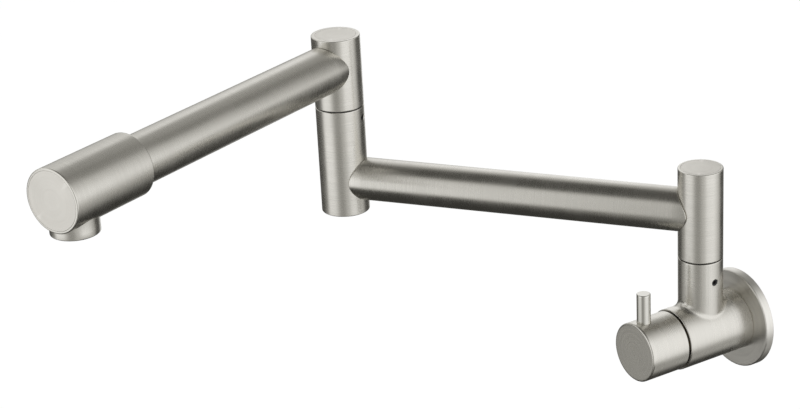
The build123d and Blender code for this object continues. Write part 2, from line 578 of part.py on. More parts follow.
with BuildPart() as aerator_washer:
    turn(SPOUT, AERATOR_SEAT + FIT, AERATOR_WASHER_END, AERATOR_THREAD - 0.2, bore=AERATOR_PASSAGE)
aerator_washer.part.label = "aerator_washer"
export_step(aerator_washer.part, "parts/aerator_washer.step")

# Threaded ring with an inner lip and four key notches
with BuildPart() as aerator_shell:
    shell_end = SPOUT_DEPTH - AERATOR_RECESS
    turn(SPOUT, AERATOR_SHELL_START, shell_end, AERATOR_THREAD - 2 * FIT, bore=AERATOR_SHELL_BORE)
    turn(SPOUT, shell_end - AERATOR_LIP, shell_end, AERATOR_SHELL_BORE + 0.2, bore=AERATOR_LIP_BORE)
    notch_floor = shell_end - AERATOR_LIP + 0.1
    for sides in ((3 * AERATOR_THREAD, AERATOR_NOTCH), (AERATOR_NOTCH, 3 * AERATOR_THREAD)):
        block(SPOUT, notch_floor, SPOUT_DEPTH, *sides, mode=Mode.SUBTRACT)
aerator_shell.part.label = "aerator_shell"
export_step(aerator_shell.part, "parts/aerator_shell.step")

# Plastic insert with two rings of water holes
with BuildPart() as aerator_insert:
    turn(SPOUT, AERATOR_INSERT_START, SPOUT_DEPTH - AERATOR_INSERT_RECESS, AERATOR_CORE_RADIUS)
    for circle_radius, count, hole_radius in (AERATOR_OUTER_HOLES, AERATOR_INNER_HOLES):
        with Locations(SPOUT.offset(SPOUT_DEPTH)):
            with PolarLocations(circle_radius, count):
                Hole(hole_radius)
aerator_insert.part.label = "aerator_insert"
export_step(aerator_insert.part, "parts/aerator_insert.step")

# Woven screen at the mouth, as one holed disc
with BuildPart() as aerator_screen:
    screen_end = SPOUT_DEPTH - SCREEN_RECESS
    turn(SPOUT, screen_end - SCREEN_THICKNESS, screen_end, AERATOR_CORE_RADIUS)
    with BuildSketch(SPOUT.offset(screen_end - 2 * SCREEN_THICKNESS)) as meshes:
        for column in range(-5, 6):
            for row in range(-5, 6):
                if Vector(column, row).length * SCREEN_PITCH < SCREEN_REACH:
                    with Locations((column * SCREEN_PITCH, row * SCREEN_PITCH)):
                        Rectangle(SCREEN_HOLE, SCREEN_HOLE)
    extrude(meshes.sketch, amount=3 * SCREEN_THICKNESS, mode=Mode.SUBTRACT)
aerator_screen.part.label = "aerator_screen"
export_step(aerator_screen.part, "parts/aerator_screen.step")
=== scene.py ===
"""Wall mounted pot filler in brushed nickel: dressed pieces, finishes, studio and camera."""

import logging
import math
from dataclasses import dataclass, field
from enum import Enum

import bmesh
import bpy
from mathutils import Matrix, Vector


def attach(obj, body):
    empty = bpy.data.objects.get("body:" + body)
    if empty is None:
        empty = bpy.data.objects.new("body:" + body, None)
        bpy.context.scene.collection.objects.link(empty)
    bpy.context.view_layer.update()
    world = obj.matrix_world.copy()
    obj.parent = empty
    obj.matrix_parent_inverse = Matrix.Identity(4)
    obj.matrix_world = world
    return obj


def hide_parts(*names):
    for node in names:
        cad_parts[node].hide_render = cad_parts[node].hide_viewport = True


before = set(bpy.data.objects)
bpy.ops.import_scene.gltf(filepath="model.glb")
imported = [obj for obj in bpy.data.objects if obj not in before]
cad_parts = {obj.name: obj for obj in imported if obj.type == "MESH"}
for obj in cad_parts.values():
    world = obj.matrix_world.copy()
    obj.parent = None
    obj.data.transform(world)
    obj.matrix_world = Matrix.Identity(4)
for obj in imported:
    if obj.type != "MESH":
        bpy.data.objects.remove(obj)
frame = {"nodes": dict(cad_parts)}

LOG = logging.getLogger("pot_filler")
MM = 0.001
ROUND = 128  # columns round a large turned side
SAME = 1e-4  # lengths closer than this, in millimetres, are the same
WELD = 1e-7  # points closer than this, in metres, become one
SHARP = 38.0  # edges that turn by more degrees stay sharp
SCREW_HOLE = 2.25  # radius of a set screw's hole with its chamfer
SCREW_CHAMFER = 0.25
CAP_DEPTH = 3.0  # depth of the recess that a cap sits in
CAP_PLAY = 0.03  # play round a cap in its recess
UP = Vector((0.0, 0.0, 1.0))
OUT = Vector((0.0, -1.0, 0.0))
RIGHT = Vector((1.0, 0.0, 0.0))

Profile = list[tuple[float, float]]
Corner = tuple[float, float, float]
Colour = tuple[float, float, float]
Places = list[tuple[float, float, float]]
Socket = bpy.types.NodeSocket


class Body(Enum):
    """The four bodies of the frame."""

    VALVE = "valve"
    KNOB = "knob_group"
    LOWER_ARM = "lower_arm_group"
    UPPER_ARM = "upper_arm_group"


class Slot(Enum):
    """Material slots of the pieces that are shaped here."""

    NICKEL = "brushed_nickel"
    BRIGHT = "polished_nickel"
    BRASS = "raw_brass"
    STEEL = "screw_steel"
    BLACK_STEEL = "black_steel"


# ---- Frames and outlines, in millimetres ----


def heading(turn: float) -> Vector:
    """Level direction of an arm.

    Args:
        turn: Angle from straight out of the wall, in degrees.
    Returns:
        A unit vector.
    """
    angle = math.radians(turn)
    return Vector((-math.sin(angle), -math.cos(angle), 0.0))


def aim(azimuth: float, elevation: float) -> Vector:
    """Direction at an azimuth and elevation in degrees, azimuth 0 pointing straight out from the wall and 90
    toward +X.
    """
    side, tall = math.radians(azimuth), math.radians(elevation)
    return Vector((math.sin(side) * math.cos(tall), -math.cos(side) * math.cos(tall), math.sin(tall)))


def placed(origin: Vector, along: Vector, outward: Vector) -> Matrix:
    """Frame of a turned piece, whose own axis is local Y.

    Args:
        origin: Where the piece's own origin lies.
        along: Direction of its axis.
        outward: Direction of its local Z, square to the axis.
    Returns:
        The 4 x 4 placement.
    """
    across = along.cross(outward)
    basis = Matrix((across, along, outward)).transposed().to_4x4()
    return Matrix.Translation(origin) @ basis


def even_angles(count: int) -> list[float]:
    """Evenly spaced angles round a full turn, in radians."""
    return [2 * math.pi * step / count for step in range(count)]


def spread(start: float, end: float, count: int) -> list[float]:
    """Evenly spaced numbers from start to end, both included."""
    return [start + (end - start) * step / count for step in range(count + 1)]


def ring(angles: list[float], reaches: list[float], along: float) -> Places:
    """Places round local Y, each at its own distance from it."""
    return [(reach * math.sin(angle), along, reach * math.cos(angle))
            for angle, reach in zip(angles, reaches)]


def circle(angles: list[float], radius: float, along: float) -> Places:
    """Places of a circle round local Y."""
    return ring(angles, [radius] * len(angles), along)


def hoop(turns: list[float], radius: float, levels: list[float]) -> Places:
    """Places round local Y, counted from local X, each at its own distance along it."""
    return [(radius * math.cos(turn), level, radius * math.sin(turn)) for turn, level in zip(turns, levels)]


def hexagon(angles: list[float], across_flats: float, widen: float, along: float) -> Places:
    """Places of a hexagon round local Y.

    Args:
        angles: Angles round the axis, in radians.
        across_flats: Width between two opposite sides.
        widen: Even width that is added outside.
        along: Distance along the axis.
    Returns:
        One place for each angle.
    """
    sector = math.pi / 3
    turns = [(angle + sector / 2) % sector - sector / 2 for angle in angles]
    return ring(angles, [across_flats / 2 / math.cos(turn) + widen for turn in turns], along)


def face_rings(radius: float, along: float) -> Profile:
    """Points that split a flat round face into rings."""
    return [(radius * share, along) for share in (0.75, 0.5, 0.25)]


def swept(arcs: list[tuple[Vector, Vector, Vector]], radius: float, steps: int) -> list[Places]:
    """Rows of places along arcs of one radius.

    Args:
        arcs: Centre, first direction and last direction of each arc.
        radius: Radius of all the arcs.
        steps: Number of steps along each.
    Returns:
        One row for each step, with a place on every arc.
    """
    return [[tuple(centre + first.slerp(last, step / steps) * radius) for centre, first, last in arcs]
            for step in range(steps + 1)]


def eased(corners: list[Corner], closed: bool = True, steps: int = 4) -> Profile:
    """Round the corners of an outline, with a support point beside the rounding on each long side.

    Args:
        corners: Radius, distance along the axis and rounding of each corner.
        closed: Whether the outline runs back to its first corner.
        steps: Segments in each rounding.
    Returns:
        The outline as radius and distance pairs.
    """
    outline: Profile = []
    count = len(corners)
    most, long = 0.45, 8  # share of a side that a rounding takes at most, and a long side in roundings
    for index, (radius, along, rounding) in enumerate(corners):
        here = Vector((radius, along))
        ends = not closed and index in (0, count - 1)
        if rounding <= 0.0 or ends:
            outline.append((radius, along))
            continue
        before = Vector(corners[index - 1][:2]) - here
        after = Vector(corners[(index + 1) % count][:2]) - here
        turn = math.pi - before.angle(after)
        reach = min(rounding * math.tan(turn / 2), most * before.length, most * after.length)
        true = reach / math.tan(turn / 2)
        centre = here + (before.normalized() + after.normalized()).normalized() * (true / math.cos(turn / 2))
        first = here + before.normalized() * reach
        last = here + after.normalized() * reach
        if before.length > long * reach:
            outline.append(tuple(first + before.normalized() * reach))
        for step in range(steps + 1):
            ray = (first - centre).slerp(last - centre, step / steps)
            outline.append(tuple(centre + ray.normalized() * true))
        if after.length > long * reach:
            outline.append(tuple(last + after.normalized() * reach))
    return outline


def with_rows(outline: Profile, radius: float, rows: list[float]) -> Profile:
    """Add points to the straight side of an outline.

    Args:
        outline: The outline.
        radius: Radius of the side.
        rows: Distances along the axis that get a point.
    Returns:
        The outline with the added points.
    """
    result: Profile = []
    for index, point in enumerate(outline):
        result.append(point)
        after = outline[(index + 1) % len(outline)]
        if max(abs(point[0] - radius), abs(after[0] - radius)) > SAME:
            continue
        inside = [row for row in rows if min(point[1], after[1]) < row < max(point[1], after[1])]
        result.extend((radius, row) for row in sorted(inside, reverse=after[1] < point[1]))
    return result


# ---- Meshes ----


@dataclass(frozen=True)
class Mouth:
    """Where a hole or a branch opens in the side of a turned piece.

    Attributes:
        along: Distance of its centre along the axis.
        low: Lower end of the side's rows that give way to it.
        high: Upper end of those rows.
        span: Half the angle that gives way to it, in degrees.
        toward: Angle of its centre round the axis, in degrees.
        rows: Number of rows between low and high.
    """

    along: float
    low: float
    high: float
    span: float
    toward: float = 0.0
    rows: int = 12

    def levels(self) -> list[float]:
        """Distances along the axis at which the side needs a row."""
        return spread(self.low, self.high, self.rows)

    def offset(self, angle: float) -> float:
        """An angle counted from the mouth's centre, within half a turn either way."""
        return (angle - math.radians(self.toward) + math.pi) % (2 * math.pi) - math.pi

    def frame(self) -> Matrix:
        """Frame at the mouth, with Z straight out through its centre."""
        turn = Matrix.Rotation(math.radians(self.toward), 4, "Y")
        return turn @ Matrix.Translation((0.0, self.along, 0.0))


@dataclass(frozen=True)
class Saddle:
    """Round edge where a branch or a hole meets the side of a cylinder.

    Attributes:
        main: Radius of the cylinder.
        branch: Radius of the branch or hole.
        blend: Radius of the hollow rounding between them, or 0 at a hole.
    """

    main: float
    branch: float
    blend: float = 0.0

    def on_main(self, turn: float) -> tuple[float, float]:
        """Where the round edge lies on the cylinder.

        Args:
            turn: Angle round the branch.
        Returns:
            Its swing round the cylinder, and its distance along it.
        """
        reach = self.branch + self.blend
        across = reach * math.cos(turn) * self.main / (self.main + self.blend)
        return math.asin(max(-1.0, min(1.0, across / self.main))), reach * math.sin(turn)

    def rows(self, turns: list[float], steps: int) -> list[Places]:
        """Rows of the rounding from the cylinder to the branch.

        Args:
            turns: Angles round the branch.
            steps: Number of steps across the rounding.
        Returns:
            Rows of places across the cylinder, along it and out from it.
        """
        reach, far = self.branch + self.blend, self.main + self.blend
        arcs = []
        for turn in turns:
            across, along = reach * math.cos(turn), reach * math.sin(turn)
            out = math.sqrt(max(far ** 2 - across ** 2, 0.0))
            centre = Vector((across, along, out))
            foot = Vector((across * self.main / far, along, out * self.main / far))
            top = Vector((self.branch * math.cos(turn), self.branch * math.sin(turn), out))
            arcs.append((centre, (foot - centre).normalized(), (top - centre).normalized()))
        return swept(arcs, self.blend, steps)


@dataclass(frozen=True)
class CopedEnd:
    """End of a tube shaped to a post, with its feather edge rounded off.

    Attributes:
        post: Radius of the post.
        tube: Radius of the tube.
        easing: Radius of the rounding, which the tube keeps inside its own form.
    """

    post: float
    tube: float
    easing: float

    def rows(self, turns: list[float], steps: int) -> list[Places]:
        """Rows of the rounding from the post to the tube.

        Args:
            turns: Angles round the tube.
            steps: Number of steps across the rounding.
        Returns:
            Rows of places across the tube's axis, up from it and out from the post's axis.
        """
        reach, far = self.tube - self.easing, self.post + self.easing
        arcs = []
        for turn in turns:
            across, rise = reach * math.cos(turn), reach * math.sin(turn)
            out = math.sqrt(far ** 2 - across ** 2)
            to_post = Vector((-across, 0.0, -out)).normalized()
            to_tube = Vector((math.cos(turn), math.sin(turn), 0.0))
            arcs.append((Vector((across, rise, out)), to_post, to_tube))
        return swept(arcs, self.easing, steps)


@dataclass(frozen=True)
class Turned:
    """A form turned round local Y.

    Attributes:
        outline: Radius and distance of each row.
        angles: Angles of the columns, in radians.
        frame: Frame of the form inside the piece.
        rows: Point numbers of each row.
    """

    outline: Profile
    angles: list[float]
    frame: Matrix
    rows: list[list[int]] = field(default_factory=list)

    def side(self) -> float:
        """Radius of its straight side."""
        return max(radius for radius, _ in self.outline)

    def on_side(self, mouth: Mouth) -> list[int]:
        """Rows of the side that lie in a mouth's reach.

        Args:
            mouth: A mouth in the side.
        Returns:
            The rows' numbers, from low to high.
        """
        found = [index for index, (radius, along) in enumerate(self.outline)
                 if abs(radius - self.side()) < SAME and mouth.low - SAME < along < mouth.high + SAME]
        return sorted(found, key=lambda index: self.outline[index][1])

    def cells(self, mouth: Mouth) -> list[int]:
        """Columns whose cell up to the next column lies in a mouth's span.

        Args:
            mouth: A mouth in the side.
        Returns:
            The columns' numbers.
        """
        following = self.angles[1:] + self.angles[:1]
        widths = [(after - angle) % (2 * math.pi) for angle, after in zip(self.angles, following)]
        return [column for column, (angle, width) in enumerate(zip(self.angles, widths))
                if abs(mouth.offset(angle + width / 2)) < math.radians(mouth.span)]


@dataclass
class Skin:
    """Points and faces of one piece while it is put together, in millimetres."""

    points: list[Vector] = field(default_factory=list)
    faces: list[tuple[int, ...]] = field(default_factory=list)

    def row(self, places: Places, frame_: Matrix = Matrix()) -> list[int]:
        """Add a row of points.

        Args:
            places: Where they lie.
            frame_: Frame that the places are given in.
        Returns:
            The numbers of the new points.
        """
        first = len(self.points)
        self.points.extend(frame_ @ Vector(place) for place in places)
        return list(range(first, len(self.points)))

    def face(self, *corners: int) -> None:
        """Add a face, leaving out corners that coincide.

        Args:
            corners: Point numbers of its corners, in order.
        """
        kept = tuple(dict.fromkeys(corners))
        if len(kept) > 2:
            self.faces.append(kept)

    def bridge(self, lower: list[int], upper: list[int], skip: frozenset[int] = frozenset()) -> None:
        """Join two closed rows of the same length with faces.

        Args:
            lower: One row.
            upper: The other row.
            skip: Columns that stay open.
        """
        count = len(lower)
        for column in range(count):
            if column not in skip:
                after = (column + 1) % count
                self.face(lower[column], lower[after], upper[after], upper[column])

    def grow(self, last: list[int], places: Places, frame_: Matrix = Matrix()) -> list[int]:
        """Add a row and join the last one to it.

        Args:
            last: The last row.
            places: Where the new points lie.
            frame_: Frame that the places are given in.
        Returns:
            The new row.
        """
        fresh = self.row(places, frame_)
        self.bridge(last, fresh)
        return fresh

    def wrap(self, rows: list[list[int]]) -> None:
        """Join each row to the next, and the last to the first."""
        for index, row in enumerate(rows):
            self.bridge(row, rows[(index + 1) % len(rows)])

    def close(self, row: list[int], centre: tuple[float, float, float], frame_: Matrix = Matrix()) -> None:
        """Close a row with a fan of faces round a centre point."""
        self.bridge(row, self.row([centre], frame_) * len(row))

    def turned(self, outline: Profile, angles: list[float], frame_: Matrix = Matrix(), closed: bool = True,
               mouths: tuple[Mouth, ...] = ()) -> Turned:
        """Turn an outline round local Y.

        Args:
            outline: Radius and distance pairs.
            angles: Angles of the columns, in radians.
            frame_: Frame of the turned form inside the piece.
            closed: Whether the last row joins the first.
            mouths: Places in the side that stay open.
        Returns:
            The turned form.
        """
        form = Turned(outline, angles, frame_)
        for radius, along in outline:
            if radius < SAME:
                form.rows.append(self.row([(0.0, along, 0.0)], frame_) * len(angles))
            else:
                form.rows.append(self.row(circle(angles, radius, along), frame_))
        for index in range(len(outline) if closed else len(outline) - 1):
            after = (index + 1) % len(outline)
            skip = {column for mouth in mouths if {index, after} <= set(form.on_side(mouth))
                    for column in form.cells(mouth)}
            self.bridge(form.rows[index], form.rows[after], frozenset(skip))
        return form

    def mouth_rim(self, form: Turned, mouth: Mouth, edge: Saddle,
                  rings: int = 4) -> tuple[list[int], list[float]]:
        """Fill a mouth's patch down to the round edge of its hole or branch.

        Args:
            form: The turned form.
            mouth: The mouth in its side.
            edge: Gives the points of the round edge.
            rings: Rows of faces between the patch's border and the edge.
        Returns:
            The edge's point numbers, and the angle of each round the mouth's centre.
        """
        side, count = form.side(), len(form.angles)
        pull = 1.5  # above 1, the rows lie closer together toward the edge
        offsets = [mouth.offset(angle) for angle in form.angles]
        levels = [along - mouth.along for _, along in form.outline]
        on_side, cells = form.on_side(mouth), form.cells(mouth)
        columns = sorted(set(cells) | {(c + 1) % count for c in cells}, key=lambda c: offsets[c])
        left, right = columns[0], columns[-1]
        start = min(range(len(on_side)), key=lambda i: abs(levels[on_side[i]]))
        border = [(right, i) for i in on_side[start:]]
        border += [(c, on_side[-1]) for c in reversed(columns[:-1])]
        border += [(left, i) for i in reversed(on_side[:-1])]
        border += [(c, on_side[0]) for c in columns[1:]]
        border += [(right, i) for i in on_side[1:start]]
        turns = [math.atan2(levels[i], side * offsets[c]) % (2 * math.pi) for c, i in border]
        turns[0] = turns[0] if turns[0] < math.pi else turns[0] - 2 * math.pi
        last = [form.rows[i][c] for c, i in border]
        for number in range(1, rings + 1):
            share = 1 - (1 - number / rings) ** pull
            places = []
            for turn, (c, i) in zip(turns, border):
                swing, along = edge.on_main(turn)
                angle = math.radians(mouth.toward) + offsets[c] + (swing - offsets[c]) * share
                level = mouth.along + levels[i] + (along - levels[i]) * share
                places.append((side * math.sin(angle), level, side * math.cos(angle)))
            last = self.grow(last, places, form.frame)
        return last, turns

    def drill(self, form: Turned, mouth: Mouth, edge: Saddle, chamfer: float, floor: float) -> None:
        """Bore a hole with a small chamfer into the side of a turned form.

        Args:
            form: The turned form.
            mouth: Where the hole opens.
            edge: Sizes of its edge, with the chamfer included.
            chamfer: Width and depth of the chamfer.
            floor: Distance of the hole's floor from the axis.
        """
        rim, turns = self.mouth_rim(form, mouth, edge)
        spot = form.frame @ mouth.frame()
        bore = edge.branch - chamfer
        shore = [math.sqrt(edge.main ** 2 - (bore * math.cos(turn)) ** 2) - chamfer for turn in turns]
        for levels in (shore, [floor] * len(turns)):
            rim = self.grow(rim, [(bore * math.cos(turn), bore * math.sin(turn), out)
                                  for turn, out in zip(turns, levels)], spot)
        self.close(rim, (0.0, 0.0, floor), spot)

    def branched(self, outline: Profile, mouth: Mouth, saddle: Saddle, branch: Profile, steps: int,
                 screw: Mouth | None = None) -> None:
        """Turn a barrel with a round branch on its local Z, joined by a hollow rounding.

        Args:
            outline: Outline of the barrel.
            mouth: Where the branch opens.
            saddle: Sizes of the joint.
            branch: Outline of the branch, as radius and distance from the barrel's axis.
            steps: Steps across the rounding.
            screw: Where a set screw's hole opens in the branch's own side.
        """
        outline = with_rows(outline, saddle.main, mouth.levels())
        barrel = self.turned(outline, even_angles(ROUND), mouths=(mouth,))
        rim, turns = self.mouth_rim(barrel, mouth, saddle, rings=6)
        for places in saddle.rows(turns, steps)[1:]:
            rim = self.grow(rim, places, mouth.frame())
        tilt = mouth.frame() @ placed(Vector(), UP, RIGHT)
        column = self.turned(branch, turns, tilt, closed=False, mouths=(screw,) if screw else ())
        self.bridge(rim, column.rows[0])
        if screw:
            self.drill(column, screw, Saddle(saddle.branch, SCREW_HOLE), SCREW_CHAMFER, floor=11.0)

    def finish(self, name: str, placement: Matrix) -> bpy.types.Object:
        """Make the Blender object.

        Args:
            name: Name of the piece.
            placement: Frame of the piece in the row frame, in millimetres.
        Returns:
            The linked object, in metres.
        """
        mesh = bpy.data.meshes.new(name)
        mesh.from_pydata([point * MM for point in self.points], [], self.faces)
        draft = bmesh.new()
        draft.from_mesh(mesh)
        bmesh.ops.remove_doubles(draft, verts=draft.verts, dist=WELD)
        bmesh.ops.recalc_face_normals(draft, faces=draft.faces)
        draft.to_mesh(mesh)
        draft.free()
        mesh.shade_smooth()
        mesh.set_sharp_from_angle(angle=math.radians(SHARP))
        piece = bpy.data.objects.new(name, mesh)
        bpy.context.scene.collection.objects.link(piece)
        rotation = placement.to_3x3().to_4x4()
        piece.matrix_world = Matrix.Translation(placement.to_translation() * MM) @ rotation
        return piece


# ---- Shader node groups ----


class Nodes:
    """Short hand for putting nodes into a tree."""

    def __init__(self, tree: bpy.types.NodeTree) -> None:
        """Keep the tree."""
        self.tree = tree

    def add(self, kind: str, **settings: object) -> bpy.types.Node:
        """Add a node.

        Args:
            kind: Its type.
            settings: Its properties, by name.
        Returns:
            The node.
        """
        node = self.tree.nodes.new(kind)
        for name, value in settings.items():
            setattr(node, name, value)
        return node

    def link(self, source: Socket, target: Socket) -> None:
        """Link two sockets."""
        self.tree.links.new(source, target)

    def feed(self, node: bpy.types.Node, sources: dict[int | str, object]) -> None:
        """Link or set a node's inputs.

        Args:
            node: The node.
            sources: A socket or a plain value for each input, by number or name.
        """
        for key, source in sources.items():
            if isinstance(source, Socket):
                self.link(source, node.inputs[key])
            else:
                node.inputs[key].default_value = source

    def math(self, operation: str, first: object, second: object = 0.0, third: object = 0.0,
             clamp: bool = False) -> Socket:
        """Add a Math node.

        Args:
            operation: The node's operation.
            first: A socket or a number.
            second: A socket or a number.
            third: A socket or a number.
            clamp: Whether the result stays between 0 and 1.
        Returns:
            The result's socket.
        """
        node = self.add("ShaderNodeMath", operation=operation, use_clamp=clamp)
        self.feed(node, dict(enumerate((first, second, third))))
        return node.outputs[0]

    def rise(self, value: Socket, low: float, high: float) -> Socket:
        """Rise smoothly from 0 to 1 while a value goes from low to high.

        Args:
            value: The value.
            low: Where the rise starts.
            high: Where it ends.
        Returns:
            The result's socket.
        """
        node = self.add("ShaderNodeMapRange", interpolation_type="SMOOTHSTEP")
        self.feed(node, {"Value": value, "From Min": low, "From Max": high})
        return node.outputs["Result"]

    def noise(self, vector: Socket, scale: object, detail: float, rough: float) -> Socket:
        """Add a Noise texture.

        Args:
            vector: Where it is read.
            scale: Its scale, as a socket or a number.
            detail: Its detail.
            rough: Its roughness.
        Returns:
            The socket of its value.
        """
        node = self.add("ShaderNodeTexNoise", noise_dimensions="3D")
        self.feed(node, {"Vector": vector, "Scale": scale, "Detail": detail, "Roughness": rough})
        return node.outputs["Fac"]

    def weighed(self, first: Socket, second: Socket, share: float) -> Socket:
        """Add two values, the first by its share and the second by the rest."""
        weights = ((first, share), (second, 1.0 - share))
        return self.math("ADD", *[self.math("MULTIPLY", value, weight) for value, weight in weights])

    def blend(self, factor: object, first: Socket, second: Socket) -> Socket:
        """Mix two values.

        Args:
            factor: Share of the second, as a socket or a number.
            first: Socket of the first value.
            second: Socket of the second value.
        Returns:
            The result's socket.
        """
        node = self.add("ShaderNodeMix", data_type="FLOAT")
        self.feed(node, {0: factor, 2: first, 3: second})
        return node.outputs[0]

    def tinted(self, factor: Socket, low: Colour, high: Colour) -> Socket:
        """Mix two colours.

        Args:
            factor: Share of the second colour.
            low: The first colour.
            high: The second colour.
        Returns:
            The result's socket.
        """
        node = self.add("ShaderNodeMix", data_type="RGBA")
        self.feed(node, {0: factor, 6: (*low, 1.0), 7: (*high, 1.0)})
        return node.outputs[2]

    def shown(self, factor: Socket, first: bpy.types.Node, second: bpy.types.Node) -> None:
        """Mix two shaders, as what the tree's output shows.

        Args:
            factor: Share of the second shader.
            first: The first shader.
            second: The second shader.
        """
        mix = self.add("ShaderNodeMixShader")
        self.feed(mix, {0: factor, 1: first.outputs[0], 2: second.outputs[0]})
        self.surface(mix)

    def surface(self, shader: bpy.types.Node) -> None:
        """Make a shader what the tree's output shows.

        Args:
            shader: The shader.
        """
        for node in self.tree.nodes:
            if node.bl_idname in ("ShaderNodeOutputMaterial", "ShaderNodeOutputWorld"):
                self.link(shader.outputs[0], node.inputs["Surface"])


def new_group(name: str, inputs: dict[str, float], outputs: tuple[str, ...]) -> tuple[Nodes, dict, dict]:
    """Start a node group.

    Args:
        name: Name of the group.
        inputs: Names and starting values of its inputs.
        outputs: Names of its outputs.
    Returns:
        The tree's helper, its input sockets and its output sockets, by name.
    """
    tree = bpy.data.node_groups.new(name, "ShaderNodeTree")
    for title, value in inputs.items():
        socket = tree.interface.new_socket(title, in_out="INPUT", socket_type="NodeSocketFloat")
        socket.default_value = value
    for title in outputs:
        tree.interface.new_socket(title, in_out="OUTPUT", socket_type="NodeSocketFloat")
    nodes = Nodes(tree)
    source = nodes.add("NodeGroupInput").outputs
    target = nodes.add("NodeGroupOutput").inputs
    return nodes, {title: source[title] for title in inputs}, {title: target[title] for title in outputs}


def brushed_lines() -> bpy.types.NodeTree:
    """Group for brush lines that run round a turned side and in rings on its faces.

    Returns:
        The group, with the outputs Lines and Height.
    """
    starts = {"Line Scale": 1200.0, "Streak Scale": 40.0, "Coarse": 0.5}
    nodes, given, gives = new_group("brushed_lines", starts, ("Lines", "Height"))
    place = nodes.add("ShaderNodeTexCoord")
    split, turn = nodes.add("ShaderNodeSeparateXYZ"), nodes.add("ShaderNodeSeparateXYZ")
    nodes.link(place.outputs["Object"], split.inputs[0])
    nodes.link(place.outputs["Normal"], turn.inputs[0])
    across, along, deep = split.outputs
    facing = nodes.rise(nodes.math("ABSOLUTE", turn.outputs[1]), 0.6, 0.8)
    squares = [nodes.math("MULTIPLY", side, side) for side in (across, deep)]
    reach = nodes.math("SQRT", nodes.math("ADD", *squares))
    travel = nodes.blend(facing, along, reach)
    results = []
    for share in (1.0, 0.22):
        vector = nodes.add("ShaderNodeCombineXYZ")
        lines = nodes.math("MULTIPLY", given["Line Scale"], share)
        nodes.feed(vector, {0: nodes.math("MULTIPLY", travel, lines),
                            1: nodes.math("MULTIPLY", across, given["Streak Scale"]),
                            2: nodes.math("MULTIPLY", deep, given["Streak Scale"])})
        results.append(nodes.noise(vector.outputs[0], 1.0, 2.0, 0.6))
    height = nodes.blend(given["Coarse"], *results)
    nodes.link(nodes.rise(height, 0.3, 0.7), gives["Lines"])
    nodes.link(height, gives["Height"])
    return nodes.tree


def soft_clouds() -> bpy.types.NodeTree:
    """Group for slow, cloudy change over a surface, such as handling and polishing leave.

    Returns:
        The group, with the output Cloud from 0 to 1.
    """
    nodes, given, gives = new_group("soft_clouds", {"Cloud Scale": 60.0}, ("Cloud",))
    place = nodes.add("ShaderNodeTexCoord")
    value = nodes.noise(place.outputs["Object"], given["Cloud Scale"], 3.0, 0.55)
    nodes.link(nodes.rise(value, 0.32, 0.68), gives["Cloud"])
    return nodes.tree


def rubbed_edges() -> bpy.types.NodeTree:
    """Group for edges that are rubbed brighter than the faces beside them.

    Returns:
        The group, with the output Edge from 0 to 1.
    """
    nodes, given, gives = new_group("rubbed_edges", {"Reach": 0.08}, ("Edge",))
    point = nodes.add("ShaderNodeNewGeometry").outputs["Pointiness"]
    over = nodes.math("SUBTRACT", point, 0.51)
    nodes.link(nodes.math("DIVIDE", over, given["Reach"], clamp=True), gives["Edge"])
    return nodes.tree


def fine_speckle() -> bpy.types.NodeTree:
    """Group for the fine tooth of moulded, pressed and cast surfaces.

    Returns:
        The group, with the outputs Speckle and Height.
    """
    nodes, given, gives = new_group("fine_speckle", {"Speckle Scale": 2500.0}, ("Speckle", "Height"))
    place = nodes.add("ShaderNodeTexCoord")
    value = nodes.noise(place.outputs["Object"], given["Speckle Scale"], 3.0, 0.7)
    nodes.link(nodes.rise(value, 0.4, 0.65), gives["Speckle"])
    nodes.link(value, gives["Height"])
    return nodes.tree


# ---- Finishes ----


class Workshop:
    """Builds each node group and each material once."""

    groups: dict[str, bpy.types.NodeTree] = {}
    materials: dict[str, bpy.types.Material] = {}

    @classmethod
    def group(cls, maker: object) -> bpy.types.NodeTree:
        """The node group that a maker function builds.

        Args:
            maker: The function, called once at most.
        Returns:
            The group.
        """
        name = maker.__name__
        if name not in cls.groups:
            cls.groups[name] = maker()
        return cls.groups[name]

    @classmethod
    def place(cls, nodes: Nodes, maker: object, **values: float) -> bpy.types.Node:
        """Put a group into a material with its own values.

        Args:
            nodes: Helper of the material's tree.
            maker: Function that builds the group.
            values: Input values, with underscores for the spaces in their names.
        Returns:
            The group node.
        """
        node = nodes.add("ShaderNodeGroup", node_tree=cls.group(maker))
        for name, value in values.items():
            node.inputs[name.replace("_", " ")].default_value = value
        return node

    @classmethod
    def start(cls, name: str) -> tuple[bpy.types.Material, Nodes, bpy.types.Node]:
        """Start a node material.

        Args:
            name: Its name.
        Returns:
            The material, its helper and its Principled shader.
        """
        material = bpy.data.materials.new(name)
        material.use_nodes = True
        return material, Nodes(material.node_tree), material.node_tree.nodes["Principled BSDF"]


@dataclass(frozen=True)
class Finish:
    """A finish with a fine relief, whose material is made once.

    Attributes:
        name: Name of the material.
    """

    name: str

    def material(self) -> bpy.types.Material:
        """Build the material, unless it is there already.

        Returns:
            The material.
        """
        if self.name not in Workshop.materials:
            material, nodes, shader = Workshop.start(self.name)
            height, depth = self.paint(nodes, shader)
            bump = nodes.add("ShaderNodeBump")
            nodes.feed(bump, {"Distance": depth, "Height": height})
            nodes.link(bump.outputs["Normal"], shader.inputs["Normal"])
            Workshop.materials[self.name] = material
        return Workshop.materials[self.name]

    def paint(self, nodes: Nodes, shader: bpy.types.Node) -> tuple[Socket, float]:
        """Set up colour and gloss.

        Args:
            nodes: Helper of the material's tree.
            shader: Its Principled shader.
        Returns:
            The socket of the relief's height, and its depth in metres.
        """
        raise NotImplementedError


